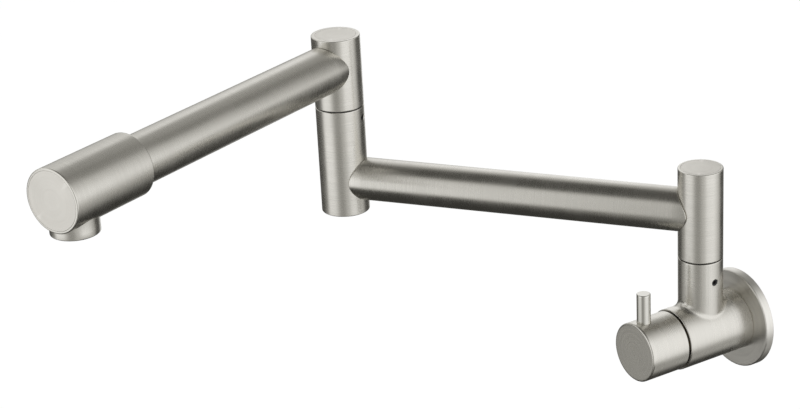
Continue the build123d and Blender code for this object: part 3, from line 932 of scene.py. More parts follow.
@dataclass(frozen=True)
class BrushedMetal(Finish):
    """Metal with brush or turning lines.

    Attributes:
        slot: Material slot that it stands for; nothing in this script reads it.
        colour: Its colour between the lines.
        shade: How much darker the lines are, from 0 to 1.
        roughness: Roughness in the middle of its range.
        swing: How far the roughness moves either way.
        line_scale: Lines for each metre.
        streak_scale: How quickly a line changes along its length.
        coarse: Share of the wider lines.
        depth: Depth of the lines in metres.
        edge: How much smoother rubbed edges are.
    """

    slot: Slot
    colour: Colour
    shade: float = 0.06
    roughness: float = 0.27
    swing: float = 0.05
    line_scale: float = 1600.0
    streak_scale: float = 45.0
    coarse: float = 0.45
    depth: float = 0.000006
    edge: float = 0.08

    def paint(self, nodes: Nodes, shader: bpy.types.Node) -> tuple[Socket, float]:
        """Set up colour and gloss from lines, clouds and rubbed edges.

        Args:
            nodes: Helper of the material's tree.
            shader: Its Principled shader.
        Returns:
            The socket of the relief's height, and its depth in metres.
        """
        group = Workshop.place(nodes, brushed_lines, Line_Scale=self.line_scale,
                               Streak_Scale=self.streak_scale, Coarse=self.coarse)
        lines = group.outputs["Lines"]
        cloud = Workshop.place(nodes, soft_clouds, Cloud_Scale=55.0).outputs["Cloud"]
        edges = Workshop.place(nodes, rubbed_edges, Reach=0.08).outputs["Edge"]
        low = tuple(channel * (1 - self.shade) for channel in self.colour)
        high = tuple(min(channel * (1 + self.shade), 1.0) for channel in self.colour)
        tone = nodes.weighed(lines, cloud, 0.7)
        rough = nodes.math("MULTIPLY_ADD", lines, -self.swing, self.roughness + self.swing / 2)
        rough = nodes.math("MULTIPLY_ADD", cloud, self.swing, rough)
        rough = nodes.math("MULTIPLY_ADD", edges, -self.edge, rough)
        nodes.feed(shader, {"Base Color": nodes.tinted(tone, low, high), "Roughness": rough, "Metallic": 1.0})
        return group.outputs["Height"], self.depth


@dataclass(frozen=True)
class MouldedSurface(Finish):
    """Rubber, plastic, fibre or ceramic with a fine tooth.

    Attributes:
        colour: Main colour.
        second: Colour of the speckles.
        roughness: Roughness in the middle of its range.
        swing: How far the roughness moves either way.
        speckle: Speckles for each metre.
        depth: Depth of the tooth in metres.
        coat: Weight of a clear glaze.
    """

    colour: Colour
    second: Colour
    roughness: float
    swing: float = 0.06
    speckle: float = 2500.0
    depth: float = 0.00002
    coat: float = 0.0

    def paint(self, nodes: Nodes, shader: bpy.types.Node) -> tuple[Socket, float]:
        """Set up colour and gloss from speckles and clouds.

        Args:
            nodes: Helper of the material's tree.
            shader: Its Principled shader.
        Returns:
            The socket of the relief's height, and its depth in metres.
        """
        speck = Workshop.place(nodes, fine_speckle, Speckle_Scale=self.speckle)
        cloud = Workshop.place(nodes, soft_clouds, Cloud_Scale=160.0).outputs["Cloud"]
        tone = nodes.weighed(speck.outputs["Speckle"], cloud, 0.6)
        rough = nodes.math("MULTIPLY_ADD", cloud, self.swing, self.roughness)
        nodes.feed(shader, {"Base Color": nodes.tinted(tone, self.colour, self.second), "Roughness": rough,
                            "Coat Weight": self.coat})
        return speck.outputs["Height"], self.depth


NICKEL = BrushedMetal("brushed_nickel", Slot.NICKEL, (0.68, 0.664, 0.62), shade=0.03, roughness=0.25,
                      streak_scale=14.0, coarse=0.12, depth=0.0000025)
# Cover plate: the nickel painted about 12 % lighter, as painted light that offsets the shade the body casts
# on the plate; its coarser lines and higher roughness are its own brushing.
PLATE_NICKEL_PAINTED_LIGHTER = BrushedMetal("plate_nickel_painted_lighter", Slot.NICKEL, (0.76, 0.745, 0.705), shade=0.08, roughness=0.34,
                            coarse=0.8, depth=0.000008)
# Caps: the nickel painted about 8 % lighter, as painted light on their flat faces; their finer lines and
# higher roughness are their own facing.
NICKEL_FACE_PAINTED_LIGHTER = BrushedMetal("faced_nickel_painted_lighter", Slot.NICKEL, (0.737, 0.718, 0.673), shade=0.012, roughness=0.36,
                           depth=0.000002)
BRIGHT_NICKEL = BrushedMetal("bright_nickel", Slot.BRIGHT, (0.68, 0.67, 0.63), shade=0.03, roughness=0.08,
                             swing=0.02, depth=0.000001, edge=0.02)
BRASS = BrushedMetal("turned_brass", Slot.BRASS, (0.78, 0.6, 0.3), roughness=0.26, line_scale=3000.0)
STEEL = BrushedMetal("screw_steel", Slot.STEEL, (0.4, 0.4, 0.41), roughness=0.28, line_scale=5000.0)
BLACK_STEEL = BrushedMetal("blackened_steel", Slot.BLACK_STEEL, (0.05, 0.05, 0.052), roughness=0.34,
                           line_scale=5000.0)
RUBBER = MouldedSurface("black_rubber", (0.012, 0.012, 0.013), (0.03, 0.03, 0.032), 0.62)
FIBRE = MouldedSurface("red_fibre", (0.3, 0.08, 0.05), (0.42, 0.16, 0.1), 0.75, depth=0.00004)
CERAMIC = MouldedSurface("lapped_ceramic", (0.8, 0.78, 0.72), (0.86, 0.85, 0.8), 0.18, coat=0.4)
DARK_PLASTIC = MouldedSurface("dark_washer_plastic", (0.02, 0.02, 0.022), (0.035, 0.035, 0.037), 0.5)
WHITE_PLASTIC = MouldedSurface("white_insert_plastic", (0.74, 0.74, 0.71), (0.8, 0.8, 0.78), 0.4)


def dress(piece: bpy.types.Object, finish: Finish) -> None:
    """Give an object one finish."""
    piece.data.materials.clear()
    piece.data.materials.append(finish.material())


@dataclass
class SubAssembly:
    """A group of pieces that move together.

    Attributes:
        body: Name of the CAD body that they ride on.
        carried: Finish of each CAD node that is shown as it is.
    """

    body: Body
    carried: dict[str, Finish] = field(default_factory=dict)

    def add(self, skin: Skin, node: str, placement: Matrix, finish: BrushedMetal) -> None:
        """Turn a skin into a piece that stands for a CAD node.

        Args:
            skin: The finished points and faces.
            node: Name of the CAD node it stands for.
            placement: Its frame in the row frame.
            finish: Its finish.
        """
        piece = skin.finish(node + "_dressed", placement)
        dress(piece, finish)
        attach(piece, self.body.value)
        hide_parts(node)
        LOG.info("%s: %d faces on %s", piece.name, len(piece.data.polygons), self.body.value)

    def carry(self) -> None:
        """Dress the CAD nodes that are shown as they are."""
        for node, finish in self.carried.items():
            dress(frame["nodes"][node], finish)
            LOG.info("%s: CAD node in %s", node, finish.name)


def screw_mouth(height: float, toward: float) -> Mouth:
    """Where a set screw's hole opens in a post, at a height and an angle in degrees."""
    margin = 3.4
    return Mouth(height, height - margin, height + margin, span=16.0, toward=toward, rows=8)


def socket_screw(tip: float, shoulder: float, head: float) -> Skin:
    """An M4 set screw with a dog point and a hexagon socket.

    Args:
        tip: Distance of the point along the screw's axis.
        shoulder: Distance at which the full radius starts.
        head: Distance of the socket end.
    Returns:
        The skin, on local Y.
    """
    skin = Skin()
    angles = even_angles(48)
    radius, dog, pitch, tooth = 1.95, 1.4, 0.7, 0.22
    socket, depth, cone = 2.0, 1.8, 0.5
    outline: Profile = [(0.0, tip), (dog, tip), (dog, shoulder)]
    level = shoulder
    while level < head - pitch:
        outline += [(radius - tooth, level), (radius, level + pitch / 2)]
        level += pitch
    outline += [(radius - tooth, level), (radius, level + 0.15), (radius, head - 0.28), (radius - 0.25, head)]
    last = skin.turned(outline, angles, closed=False).rows[-1]
    for widen, along in ((0.12, head), (0.0, head - 0.1), (0.0, head - depth)):
        last = skin.grow(last, hexagon(angles, socket, widen, along))
    skin.close(last, (0.0, head - depth - cone, 0.0))
    return skin


def cap_disc(radius: float, back: float, front: float) -> Skin:
    """A flat cap, slightly eased at its outer edge.

    Args:
        radius: Its radius.
        back: Distance of its back along the axis.
        front: Distance of its front.
    Returns:
        The skin, on local Y.
    """
    skin = Skin()
    corners = [(0.0, back, 0.0), (radius, back, 0.05), (radius, front, 0.14), (0.0, front, 0.0)]
    outline = eased(corners, closed=False)
    outline[-1:-1] = face_rings(outline[-2][0], front)
    skin.turned(outline, even_angles(ROUND), closed=False)
    return skin


@dataclass
class ValveSide(SubAssembly):
    """Everything that stays on the wall: cover plate, inlet tail, body with its column, and headwork.

    Attributes:
        cover: Radius, thickness and rounding of the cover plate.
        gasket_recess: Radius and depth of the recess in its back.
        body_radius: Radius of the horizontal body.
        body_front: Front end of the body, out from the wall.
        column_out: Distance of the swivel column from the wall.
        column_radius: Radius of the column.
        column_top: Top of the column over the valve's axis.
        column_blend: Rounding between body and column.
        screw_height: Height of the column's set screw.
        inlet_radius: Radius over the inlet thread.
        inlet_end: How far the tail reaches into the wall.
    """

    body: Body = Body.VALVE
    cover: tuple[float, float, float] = (30.0, 5.5, 0.8)
    gasket_recess: tuple[float, float] = (27.0, 1.8)
    body_radius: float = 18.45
    body_front: float = 52.8
    column_out: float = 30.8
    column_radius: float = 13.2
    column_top: float = 47.4
    column_blend: float = 4.0
    screw_height: float = 34.9
    inlet_radius: float = 10.48
    inlet_end: float = 11.0
    carried: dict[str, Finish] = field(default_factory=lambda: {
        "flange_gasket": RUBBER, "inlet_washer": FIBRE, "lower_swivel_washer": DARK_PLASTIC,
        "headwork_housing": BRASS, "headwork_o_ring": RUBBER, "disc_seal": RUBBER, "fixed_disc": CERAMIC})

    def axis(self) -> Matrix:
        """Frame on the valve's axis, with Z up."""
        return placed(Vector(), OUT, UP)

    def build(self) -> None:
        """Build and dress every piece."""
        self.cover_plate()
        self.inlet_tail()
        self.valve_body()
        screw = socket_screw(tip=8.2, shoulder=9.65, head=12.6)
        spot = Vector((0.0, -self.column_out, self.screw_height))
        self.add(screw, "column_set_screw", placed(spot, RIGHT, UP), BLACK_STEEL)
        self.carry()

    def cover_plate(self) -> None:
        """Round plate against the wall, rounded in front and recessed behind."""
        radius, thickness, rounding = self.cover
        recess, depth = self.gasket_recess
        hole, recess_edge, back_edge = 10.9, 0.15, 0.3
        outline = eased([
            (hole, depth, 0.0), (recess, depth, 0.0), (recess, 0.0, recess_edge), (radius, 0.0, back_edge),
            (radius, thickness, rounding), (hole, thickness, 0.0)], steps=6)
        skin = Skin()
        skin.turned(outline, even_angles(ROUND + 32))
        # The plate's nickel is painted lighter, as painted light.
        self.add(skin, "wall_flange", self.axis(), PLATE_NICKEL_PAINTED_LIGHTER)

    def inlet_tail(self) -> None:
        """Tail with a real pipe thread outside the wall plane, a key socket and its bore."""
        skin, rows = Skin(), []
        angles = even_angles(96)
        pitch, depth, start = 1.814, 1.1, -self.inlet_end
        for level in spread(start, 0.0, 72):
            lead = min(1.0, (level - start + 0.15) / 1.2)
            fade = min(1.0, -level / 0.9)
            teeth = [0.5 + 0.5 * math.cos(2 * math.pi * level / pitch - angle) for angle in angles]
            reaches = [self.inlet_radius - depth * (1 - tooth * lead * fade) for tooth in teeth]
            rows.append(skin.row(ring(angles, reaches, level)))
        neck, neck_end, shank, top, bore = 9.6, 2.4, 10.46, 15.2, 6.0
        key, key_floor, key_edge = 12.0, start + 7.0, 0.3
        for radius, level in ((neck, 0.0), (neck, neck_end), (shank, neck_end), (shank, top), (bore, top),
                              (bore, key_floor)):
            rows.append(skin.row(circle(angles, radius, level)))
        for widen, level in ((0.0, key_floor), (0.0, start + key_edge), (key_edge, start)):
            rows.append(skin.row(hexagon(angles, key, widen, level)))
        skin.wrap(rows)
        self.add(skin, "inlet_nipple", self.axis(), BRASS)

    def valve_body(self) -> None:
        """Horizontal barrel and swivel column in one casting, with the set screw's hole."""
        radius, front, back = self.body_radius, self.body_front, self.cover[1]
        bevel, lip, ledge = 0.4, 12.3, self.body_front - 1.6
        chamber, chamber_end, port, port_end, inlet = 10.42, 21.0, 6.0, 17.0, 10.5
        outline = eased([
            (radius - bevel, back, 0.0), (radius, back + bevel, 0.1), (radius, front, 0.5),
            (lip, front, 0.15), (lip, ledge, 0.0), (chamber, ledge, 0.0), (chamber, chamber_end, 0.0),
            (port, chamber_end, 0.0), (port, port_end, 0.0), (inlet, port_end, 0.0), (inlet, back, 0.0)])
        mouth = Mouth(self.column_out, low=11.5, high=50.1, span=64.8, rows=18)
        hole = screw_mouth(self.screw_height, 180.0)
        outer, top, seat, seat_end = self.column_radius, self.column_top, 9.45, 20.0
        column = eased([
            (outer, 24.0, 0.0), (outer, top, 0.4), (seat, top, 0.2), (seat, seat_end, 0.0),
            (0.0, seat_end, 0.0)], closed=False)
        evenly = spread(25.5, 31.0, 3) + [40.0, 43.0]  # these keep the column's faces short
        column = with_rows(column, outer, hole.levels() + evenly)
        skin = Skin()
        skin.branched(outline, mouth, Saddle(radius, outer, self.column_blend), column, steps=10, screw=hole)
        self.add(skin, "valve_body", self.axis(), NICKEL)


@dataclass
class KnobSide(SubAssembly):
    """The knob with its lever pin, and the spindle it turns.

    Attributes:
        radius: Radius of the knob.
        back: Back end of the knob, out from the wall.
        front: Front end of the knob.
        lever_out: Distance of the lever pin from the wall.
        lever_radius: Radius of the pin.
        lever_top: Height of its top over the axis.
        grub_out: Distance of the grub screw from the wall.
    """

    body: Body = Body.KNOB
    radius: float = 17.8
    back: float = 53.9
    front: float = 80.7
    lever_out: float = 73.4
    lever_radius: float = 4.1
    lever_top: float = 35.7
    grub_out: float = 69.5
    carried: dict[str, Finish] = field(default_factory=lambda: {
        "spindle": BRASS, "moving_disc": CERAMIC, "spindle_o_rings": RUBBER, "spindle_circlip": STEEL})

    def build(self) -> None:
        """Build and dress every piece."""
        self.knob()
        pin = Skin()
        stud, foot, shoulder = 2.45, 6.0, 13.02
        radius, top = self.lever_radius, self.lever_top
        outline = eased([
            (0.0, foot, 0.0), (stud, foot, 0.1), (stud, shoulder, 0.0), (radius, shoulder, 0.1),
            (radius, top, 0.5), (0.0, top, 0.0)], closed=False, steps=6)
        pin.turned(outline, even_angles(64), closed=False)
        self.add(pin, "lever_pin", placed(OUT * self.lever_out, UP, RIGHT), BRIGHT_NICKEL)
        grub = socket_screw(tip=4.02, shoulder=4.6, head=10.5)
        self.add(grub, "knob_grub_screw", placed(OUT * self.grub_out, -UP, RIGHT), BLACK_STEEL)
        self.carry()

    def knob(self) -> None:
        """Turned knob, hollow behind, with the holes for the lever and the grub screw."""
        radius, back, front = self.radius, self.back, self.front
        bore, bore_end, hollow, hollow_end = 4.02, 74.0, 14.4, 64.6
        outline = eased([
            (0.0, bore_end, 0.0), (bore, bore_end, 0.0), (bore, hollow_end, 0.0), (hollow, hollow_end, 0.0),
            (hollow, back, 0.15), (radius, back, 0.5), (radius, front, 1.0), (0.0, front, 0.0)],
            closed=False, steps=6)
        lever = Mouth(self.lever_out, self.lever_out - 6.0, self.lever_out + 5.8, span=20.0, rows=8)
        grub = Mouth(self.grub_out, self.grub_out - 4.0, self.grub_out + 4.0, span=12.5, toward=180.0, rows=6)
        outline = with_rows(outline, radius, sorted(set(lever.levels() + grub.levels())))
        outline[-1:-1] = face_rings(outline[-2][0], front)
        skin = Skin()
        form = skin.turned(outline, even_angles(ROUND), closed=False, mouths=(lever, grub))
        skin.drill(form, lever, Saddle(radius, self.lever_radius + 0.22), chamfer=0.18, floor=12.9)
        skin.drill(form, grub, Saddle(radius, 2.2), chamfer=0.2, floor=9.5)
        self.add(skin, "knob", placed(Vector(), OUT, UP), NICKEL)


@dataclass
class ArmSide(SubAssembly):
    """What both arm groups share: posts turned on a swivel's axis, and tubes coped to them."""

    def post(self, node: str, origin: Vector, radius: float, bottom: float, top: float, cap: float,
             cap_below: bool, bore: float, hole: Mouth | None = None) -> None:
        """A vertical post with a recess for its cap, and a set screw's hole if it has one.

        Args:
            node: CAD node it stands for.
            origin: Foot of its axis.
            radius: Its radius.
            bottom: Its lower end.
            top: Its upper end.
            cap: Radius of the cap's recess.
            cap_below: Whether the recess is at the lower end.
            bore: Radius of its bore.
            hole: Where the set screw's hole opens.
        """
        side = [(radius, bottom, 0.4), (radius, top, 0.4)]
        if cap_below:
            floor = bottom + CAP_DEPTH
            corners = [(cap, bottom, 0.1), *side, (bore, top, 0.1), (bore, floor, 0.0), (cap, floor, 0.0)]
        else:
            floor = top - CAP_DEPTH
            corners = [(bore, bottom, 0.1), *side, (cap, top, 0.1), (cap, floor, 0.0), (bore, floor, 0.0)]
        outline = with_rows(eased(corners), radius, spread(bottom + 2.0, top - 2.0, 8))
        skin = Skin()
        if hole is None:
            skin.turned(outline, even_angles(ROUND))
        else:
            levels = hole.levels()
            outline = [(reach, along) for reach, along in with_rows(outline, radius, levels)
                       if abs(reach - radius) > SAME or along in levels or not hole.low < along < hole.high]
            form = skin.turned(outline, even_angles(ROUND), mouths=(hole,))
            skin.drill(form, hole, Saddle(radius, SCREW_HOLE), SCREW_CHAMFER, floor=12.0)
        self.add(skin, node, placed(origin, UP, RIGHT), NICKEL)

    def tube(self, node: str, origin: Vector, direction: Vector, bore: float, first: CopedEnd, end: float,
             second: CopedEnd | None) -> None:
        """A tube coped to a post at its start, and to a second post or cut square at its end.

        Args:
            node: CAD node it stands for.
            origin: Where its axis meets the first post's axis.
            direction: Direction of its axis.
            bore: Inner radius.
            first: Shape of its first end.
            end: Distance of the second post's axis, or of the square end.
            second: Shape of its second end, if it meets a second post.
        """
        turns = even_angles(ROUND)
        skin = Skin()
        clear = 1.5  # where the straight part starts, past the rounding
        far, last, tail = end, [end] * len(turns), []
        if second:
            far = end - second.post - second.easing - clear
            last = [end - out for out in self.inner_edge(second.post, bore, turns)]
            tail = self.coped(skin, second, turns, end, -1.0)
        rows = self.coped(skin, first, turns, 0.0, 1.0)
        for level in spread(first.post + first.easing + clear, far, 24):
            rows.append(skin.row(hoop(turns, first.tube, [level] * len(turns))))
        rows += reversed(tail)
        for levels in (last, self.inner_edge(first.post, bore, turns)):
            rows.append(skin.row(hoop(turns, bore, levels)))
        skin.wrap(rows)
        self.add(skin, node, placed(origin, direction, UP), NICKEL)

    @staticmethod
    def inner_edge(post: float, bore: float, turns: list[float]) -> list[float]:
        """Distances from the post's axis at which the bore meets the post."""
        return [math.sqrt(post ** 2 - (bore * math.cos(turn)) ** 2) for turn in turns]

    @staticmethod
    def coped(skin: Skin, shape: CopedEnd, turns: list[float], end: float, sense: float) -> list[list[int]]:
        """Rows of a coped end, from the post to the tube.

        Args:
            skin: Receives the points.
            shape: Sizes of the end.
            turns: Angles round the tube.
            end: Distance of the post's axis along the tube.
            sense: 1 where the tube leaves that post, -1 where it arrives.
        Returns:
            The rows of point numbers.
        """
        return [skin.row([(across, end + sense * out, rise) for across, rise, out in places])
                for places in shape.rows(turns, 6)]


@dataclass
class LowerArmSide(ArmSide):
    """The lower arm: the post on the column, the tube and the elbow's lower post.

    Attributes:
        out: Distance of the swivel's axis from the wall.
        post_radius: Radius of the wall post.
        seam: Lower end of the wall post.
        top: Upper end of the wall post.
        height: Height of the arm's axis.
        tube_sizes: Outer and inner radius of the tube.
        easings: Rounding of the tube's ends at the wall post and at the elbow.
        reach: Distance between the two posts' axes.
        turn: Direction of the arm, in degrees.
        elbow: Radius, lower end and upper end of the elbow's lower post.
        screw_height: Height of the elbow's set screw.
    """

    body: Body = Body.LOWER_ARM
    out: float = 30.8
    post_radius: float = 13.2
    seam: float = 48.0
    top: float = 103.1
    height: float = 75.9
    tube_sizes: tuple[float, float] = (13.05, 11.0)
    easings: tuple[float, float] = (0.6, 0.5)
    reach: float = 223.7
    turn: float = 54.4
    elbow: tuple[float, float, float] = (14.8, 54.9, 122.4)
    screw_height: float = 115.6
    carried: dict[str, Finish] = field(default_factory=lambda: {
        "lower_spigot": BRASS, "lower_spigot_o_rings": RUBBER, "elbow_swivel_washer": DARK_PLASTIC})

    def root(self) -> Vector:
        """Foot of the wall post's axis."""
        return Vector((0.0, -self.out, 0.0))

    def elbow_foot(self) -> Vector:
        """Foot of the elbow's axis."""
        return self.root() + heading(self.turn) * self.reach

    def build(self) -> None:
        """Build and dress every piece."""
        direction = heading(self.turn)
        recess, bore = 11.6, 10.2
        self.post("wall_post", self.root(), self.post_radius, self.seam, self.top, recess, False, bore)
        cap = cap_disc(recess - CAP_PLAY, self.top - CAP_DEPTH, self.top)
        self.add(cap, "wall_post_cap", placed(self.root(), UP, RIGHT), NICKEL_FACE_PAINTED_LIGHTER)
        outer, inner = self.tube_sizes
        radius, bottom, top = self.elbow
        near, far = (CopedEnd(post, outer, easing)
                     for post, easing in zip((self.post_radius, radius), self.easings))
        self.tube("lower_arm", self.root() + UP * self.height, direction, inner, near, self.reach, far)
        hole = screw_mouth(self.screw_height, 90.0 - self.turn)
        recess, bore = 12.4, 9.45
        self.post("elbow_lower_post", self.elbow_foot(), radius, bottom, top, recess, True, bore, hole)
        cap = cap_disc(recess - CAP_PLAY, -bottom - CAP_DEPTH, -bottom)
        self.add(cap, "elbow_bottom_cap", placed(self.elbow_foot(), -UP, RIGHT), NICKEL_FACE_PAINTED_LIGHTER)
        screw = socket_screw(tip=8.2, shoulder=9.65, head=14.2)
        spot = self.elbow_foot() + UP * self.screw_height
        self.add(screw, "elbow_set_screw", placed(spot, -direction, UP), BLACK_STEEL)
        self.carry()


@dataclass
class UpperArmSide(ArmSide):
    """The upper arm: the elbow's upper post, the tube, the outlet head and its aerator.

    Attributes:
        elbow: Foot of the elbow's axis.
        post_sizes: Radius, lower end and upper end of the elbow's upper post.
        height: Height of the arm's axis.
        tube_sizes: Outer and inner radius of the tube.
        easing: Rounding of the tube's end at the elbow.
        turn_angle: Direction of the arm, in degrees.
        head: Radius, back end and front end of the outlet head.
        collar: Reach, radius and depth of the outlet collar.
        head_recess: Radius of the recess for the head's cap.
        overlap: How far the tube goes into the head.
    """

    body: Body = Body.UPPER_ARM
    elbow: Vector = field(default_factory=Vector)
    post_sizes: tuple[float, float, float] = (14.8, 123.0, 167.4)
    height: float = 148.4
    tube_sizes: tuple[float, float] = (14.5, 12.4)
    easing: float = 0.8
    turn_angle: float = -21.2
    head: tuple[float, float, float] = (18.4, 187.4, 247.2)
    collar: tuple[float, float, float] = (232.6, 13.7, 22.5)
    head_recess: float = 16.9
    overlap: float = 6.0
    carried: dict[str, Finish] = field(default_factory=lambda: {
        "elbow_spigot": BRASS, "elbow_spigot_o_rings": RUBBER, "aerator_washer": RUBBER,
        "aerator_shell": BRIGHT_NICKEL, "aerator_insert": WHITE_PLASTIC, "aerator_screen": STEEL})

    def build(self) -> None:
        """Build and dress every piece."""
        direction = heading(self.turn_angle)
        radius, bottom, top = self.post_sizes
        recess, bore, head_cap = 12.4, 10.42, 2.98
        self.post("elbow_upper_post", self.elbow, radius, bottom, top, recess, False, bore)
        cap = cap_disc(recess - CAP_PLAY, top - CAP_DEPTH, top)
        self.add(cap, "elbow_top_cap", placed(self.elbow, UP, RIGHT), NICKEL_FACE_PAINTED_LIGHTER)
        origin = self.elbow + UP * self.height
        outer, inner = self.tube_sizes
        _, back, front = self.head
        start = CopedEnd(radius, outer, self.easing)
        self.tube("upper_arm", origin, direction, inner, start, back + self.overlap, None)
        self.outlet_head(origin, direction)
        cap = cap_disc(self.head_recess - CAP_PLAY, front - head_cap, front)
        self.add(cap, "head_cap", placed(origin, direction, UP), NICKEL_FACE_PAINTED_LIGHTER)
        self.carry()

    def outlet_head(self, origin: Vector, direction: Vector) -> None:
        """Fat sleeve with the outlet collar below it.

        Args:
            origin: Where the arm's axis meets the elbow's.
            direction: Direction of the arm.
        """
        radius, back, front = self.head
        reach, collar, depth = self.collar
        socket, cap, bore = 14.52, self.head_recess, 10.6
        stop, floor = back + self.overlap, front - CAP_DEPTH
        outline = eased([
            (socket, back, 0.15), (radius, back, 0.4), (radius, front, 0.7), (cap, front, 0.1),
            (cap, floor, 0.0), (bore, floor, 0.0), (bore, stop, 0.0), (socket, stop, 0.0)])
        mouth = Mouth(reach, low=reach - 17.0, high=front - 0.72, span=59.0, rows=20)
        seat, seat_end = 11.0, 12.8
        pocket = eased([
            (collar, 19.0, 0.0), (collar, depth, 0.6), (seat, depth, 0.12), (seat, seat_end, 0.0),
            (0.0, seat_end, 0.0)], closed=False)
        skin = Skin()
        skin.branched(outline, mouth, Saddle(radius, collar, blend=0.12), pocket, steps=3)
        self.add(skin, "outlet_head", placed(origin, direction, -UP), NICKEL)


# ---- Studio ----


@dataclass(frozen=True)
class Flag:
    """A soft dark flag in the light tent.

    Attributes:
        azimuth: Azimuth of its middle in degrees, counted as in aim.
        elevation: Elevation of its middle in degrees.
        half_width: Half its width in degrees, or its radius at a pole.
        half_height: Half its height in degrees.
        softness: Width of its soft edge in degrees.
        level: Its brightness.
    """

    azimuth: float
    elevation: float
    half_width: float
    half_height: float
    softness: float
    level: float

    def edge(self, inside: float) -> float:
        """Smooth step across the soft edge, for a distance inside it in degrees."""
        share = min(1.0, max(0.0, inside / self.softness + 0.5))
        return share * share * (3.0 - 2.0 * share)

    def mask(self, azimuth: float, elevation: float) -> float:
        """How much of the flag is seen in a direction.

        Args:
            azimuth: Azimuth of the direction in degrees.
            elevation: Elevation of the direction in degrees.
        Returns:
            A number from 0 to 1.
        """
        if abs(self.elevation) > 89.0:
            return self.edge(self.half_width - abs(self.elevation - elevation))
        aside = abs((azimuth - self.azimuth + 180.0) % 360.0 - 180.0)
        above = abs(elevation - self.elevation)
        return self.edge(self.half_width - aside) * self.edge(self.half_height - above)


@dataclass
class Studio:
    """Floor, surroundings, light tent, lamp and camera.

    Attributes:
        centre: Middle of the object in metres.
        floor_level: Height of the floor in metres.
        tent_radius: Radius of the light tent in metres.
        tent_level: Brightness of its white cloth.
        flags: The soft flags in it.
    """

    centre: Vector = field(default_factory=lambda: Vector((-0.09, -0.2, 0.07)))
    floor_level: float = -1.0
    tent_radius: float = 1.9
    tent_level: float = 1.13
    flags: tuple[Flag, ...] = (
        Flag(0.0, 90.0, 42.0, 0.0, 28.0, 0.07),
        Flag(0.0, -90.0, 59.0, 0.0, 22.0, 0.04),
        Flag(48.0, -4.0, 28.0, 54.0, 33.0, 0.31),
        Flag(68.0, 6.0, 8.0, 50.0, 20.0, 0.56),
        Flag(184.0, -31.0, 29.0, 27.0, 28.0, 0.02),
        Flag(-79.0, -9.0, 46.0, 18.0, 19.0, 0.08),
        Flag(188.0, 27.0, 30.0, 26.0, 24.0, 0.20),
        Flag(-84.0, 26.0, 31.0, 28.0, 27.0, 0.59),
        Flag(149.0, -38.0, 14.0, 22.0, 29.0, 0.44),
        Flag(-15.0, 35.0, 24.0, 12.0, 27.0, 0.56),
        Flag(149.0, 41.0, 7.0, 19.0, 26.0, 0.65),
        Flag(-85.0, -22.0, 24.0, 15.0, 17.0, 0.08),
        Flag(194.0, -10.0, 11.0, 35.0, 16.0, 0.09),
        Flag(-146.0, 48.0, 21.0, 12.0, 17.0, 0.36),
    )

    def build(self) -> None:
        """Build the whole studio."""
        self.floor()
        self.surroundings()
        self.tent()
        self.lamp()
        self.camera()

    def tent(self) -> None:
        """White tent with its flags, which only the metal mirrors."""
        skin, rows = Skin(), []
        drop = self.centre.z - self.floor_level - 0.05  # the tent ends this far below its middle
        for elevation in spread(-90.0, 90.0, 60):
            reach = self.tent_radius
            if elevation < 0.0:
                reach = min(reach, drop / math.sin(math.radians(-elevation)))
            rays = [aim(azimuth, elevation) for azimuth in range(0, 360, 3)]
            rows.append(skin.row([tuple(ray * (reach / MM)) for ray in rays]))
        for low, high in zip(rows, rows[1:]):
            skin.bridge(low, high)
        piece = skin.finish("light_tent", Matrix.Translation(self.centre / MM))
        shades = piece.data.attributes.new("shade", "FLOAT", "POINT")
        for vertex in piece.data.vertices:
            ray = vertex.co.normalized()
            azimuth = math.degrees(math.atan2(ray.x, -ray.y))
            elevation = math.degrees(math.asin(max(-1.0, min(1.0, ray.z))))
            shade = 1.0
            for flag in self.flags:
                cover = flag.mask(azimuth, elevation)
                shade = shade * (1.0 - cover) + flag.level * cover
            shades.data[vertex.index].value = shade
        piece.data.materials.append(self.cloth())
        for rays in ("camera", "diffuse", "transmission", "volume_scatter", "shadow"):
            setattr(piece, "visible_" + rays, False)

    def cloth(self) -> bpy.types.Material:
        """Glowing cloth, warmer where a flag shades it.

        Returns:
            The material.
        """
        material = bpy.data.materials.new("tent_cloth")
        material.use_nodes = True
        nodes = Nodes(material.node_tree)
        shade = nodes.add("ShaderNodeAttribute", attribute_type="GEOMETRY", attribute_name="shade")
        glow = nodes.add("ShaderNodeEmission")
        level = shade.outputs["Fac"]
        tint = nodes.tinted(nodes.math("SQRT", level), (1.0, 0.97, 0.86), (1.0, 1.0, 1.0))
        nodes.feed(glow, {"Color": tint, "Strength": nodes.math("MULTIPLY", level, self.tent_level)})
        nodes.surface(glow)
        return material

    def seen(self, nodes: Nodes) -> Socket:
        """Pick out rays from the camera and those that metal and glass send on.

        Args:
            nodes: Helper of the tree.
        Returns:
            A socket that is 1 for them and 0 for all others.
        """
        path = nodes.add("ShaderNodeLightPath")
        shiny = nodes.math("MAXIMUM", path.outputs["Is Glossy Ray"], path.outputs["Is Transmission Ray"])
        return nodes.math("MAXIMUM", path.outputs["Is Camera Ray"], shiny)

    def floor(self) -> None:
        """Plain pale floor that keeps the object's shadow."""
        skin = Skin()
        skin.turned([(0.0, 0.0), (2000.0, 0.0), (14000.0, 0.0)], even_angles(96), closed=False)
        piece = skin.finish("floor", placed(Vector((0.0, 0.0, self.floor_level / MM)), UP, RIGHT))
        material, nodes, shader = Workshop.start("pale_floor")
        nodes.feed(shader, {"Base Color": (0.86, 0.86, 0.86, 1.0), "Roughness": 0.9,
                            "Specular IOR Level": 0.0})
        glow = nodes.add("ShaderNodeEmission")
        nodes.feed(glow, {"Strength": 1.15})
        nodes.shown(nodes.math("MULTIPLY", self.seen(nodes), 0.7), shader, glow)
        piece.data.materials.append(material)

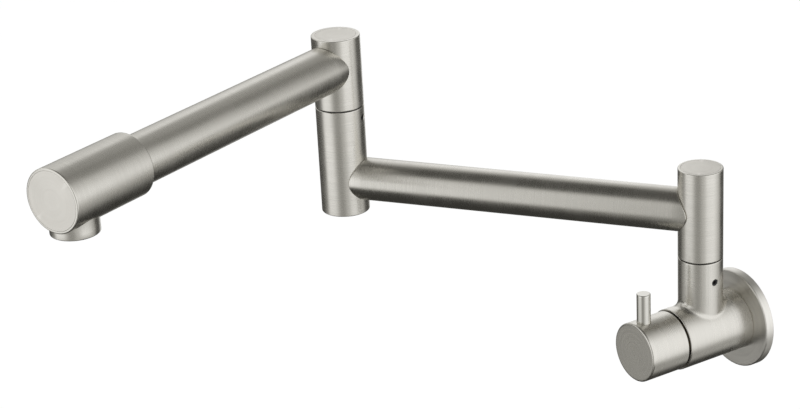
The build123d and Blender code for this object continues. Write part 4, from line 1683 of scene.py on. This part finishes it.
    def surroundings(self) -> None:
        """White all round for the camera and the metal, softer as a light on everything else."""
        world = bpy.data.worlds.new("studio_surroundings")
        world.use_nodes = True
        nodes = Nodes(world.node_tree)
        soft, white = nodes.add("ShaderNodeBackground"), world.node_tree.nodes["Background"]
        for light, strength in ((soft, 0.75), (white, 1.0)):
            nodes.feed(light, {"Color": (1.0, 1.0, 1.0, 1.0), "Strength": strength})
        nodes.shown(self.seen(nodes), soft, white)
        bpy.context.scene.world = world

    def lamp(self) -> None:
        """One large soft lamp at the right front, for everything that isn't metal."""
        light = bpy.data.lights.new("soft_key", "AREA")
        light.shape = "DISK"
        light.size = 1.6
        light.energy = 30.0
        holder = bpy.data.objects.new("soft_key", light)
        bpy.context.scene.collection.objects.link(holder)
        away, distance = aim(108.0, 32.0), 2.4
        holder.location = self.centre + away * distance
        holder.rotation_euler = away.to_track_quat("Z", "Y").to_euler()
        holder.visible_glossy = False

    def camera(self) -> None:
        """Camera at the photograph's place."""
        lens = bpy.data.cameras.new("photo_camera")
        lens.sensor_width = 36.0
        lens.sensor_fit = "HORIZONTAL"
        lens.lens = 102.213
        lens.clip_start = 0.05
        lens.clip_end = 60.0
        holder = bpy.data.objects.new("photo_camera", lens)
        bpy.context.scene.collection.objects.link(holder)
        azimuth, elevation, roll = 57.91, 22.25, math.radians(-3.04)
        place = Vector((0.935475, -0.822341, 0.586231))
        back, level = aim(azimuth, elevation), aim(azimuth + 90.0, 0.0)
        over = back.cross(level)
        right = level * math.cos(roll) + over * math.sin(roll)
        top = over * math.cos(roll) - level * math.sin(roll)
        basis = Matrix((right, top, back)).transposed().to_4x4()
        holder.matrix_world = Matrix.Translation(place) @ basis
        bpy.context.scene.camera = holder


def main() -> None:
    """Dress the frame, build the studio and set the view transform."""
    logging.basicConfig(level=logging.INFO, format="%(message)s")
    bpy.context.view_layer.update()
    ValveSide().build()
    KnobSide().build()
    lower = LowerArmSide()
    lower.build()
    UpperArmSide(elbow=lower.elbow_foot()).build()
    Studio().build()
    scene = bpy.context.scene
    scene.view_settings.view_transform = "Standard"
    bpy.context.view_layer.update()
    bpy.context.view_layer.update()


if __name__ == "__main__":
    main()
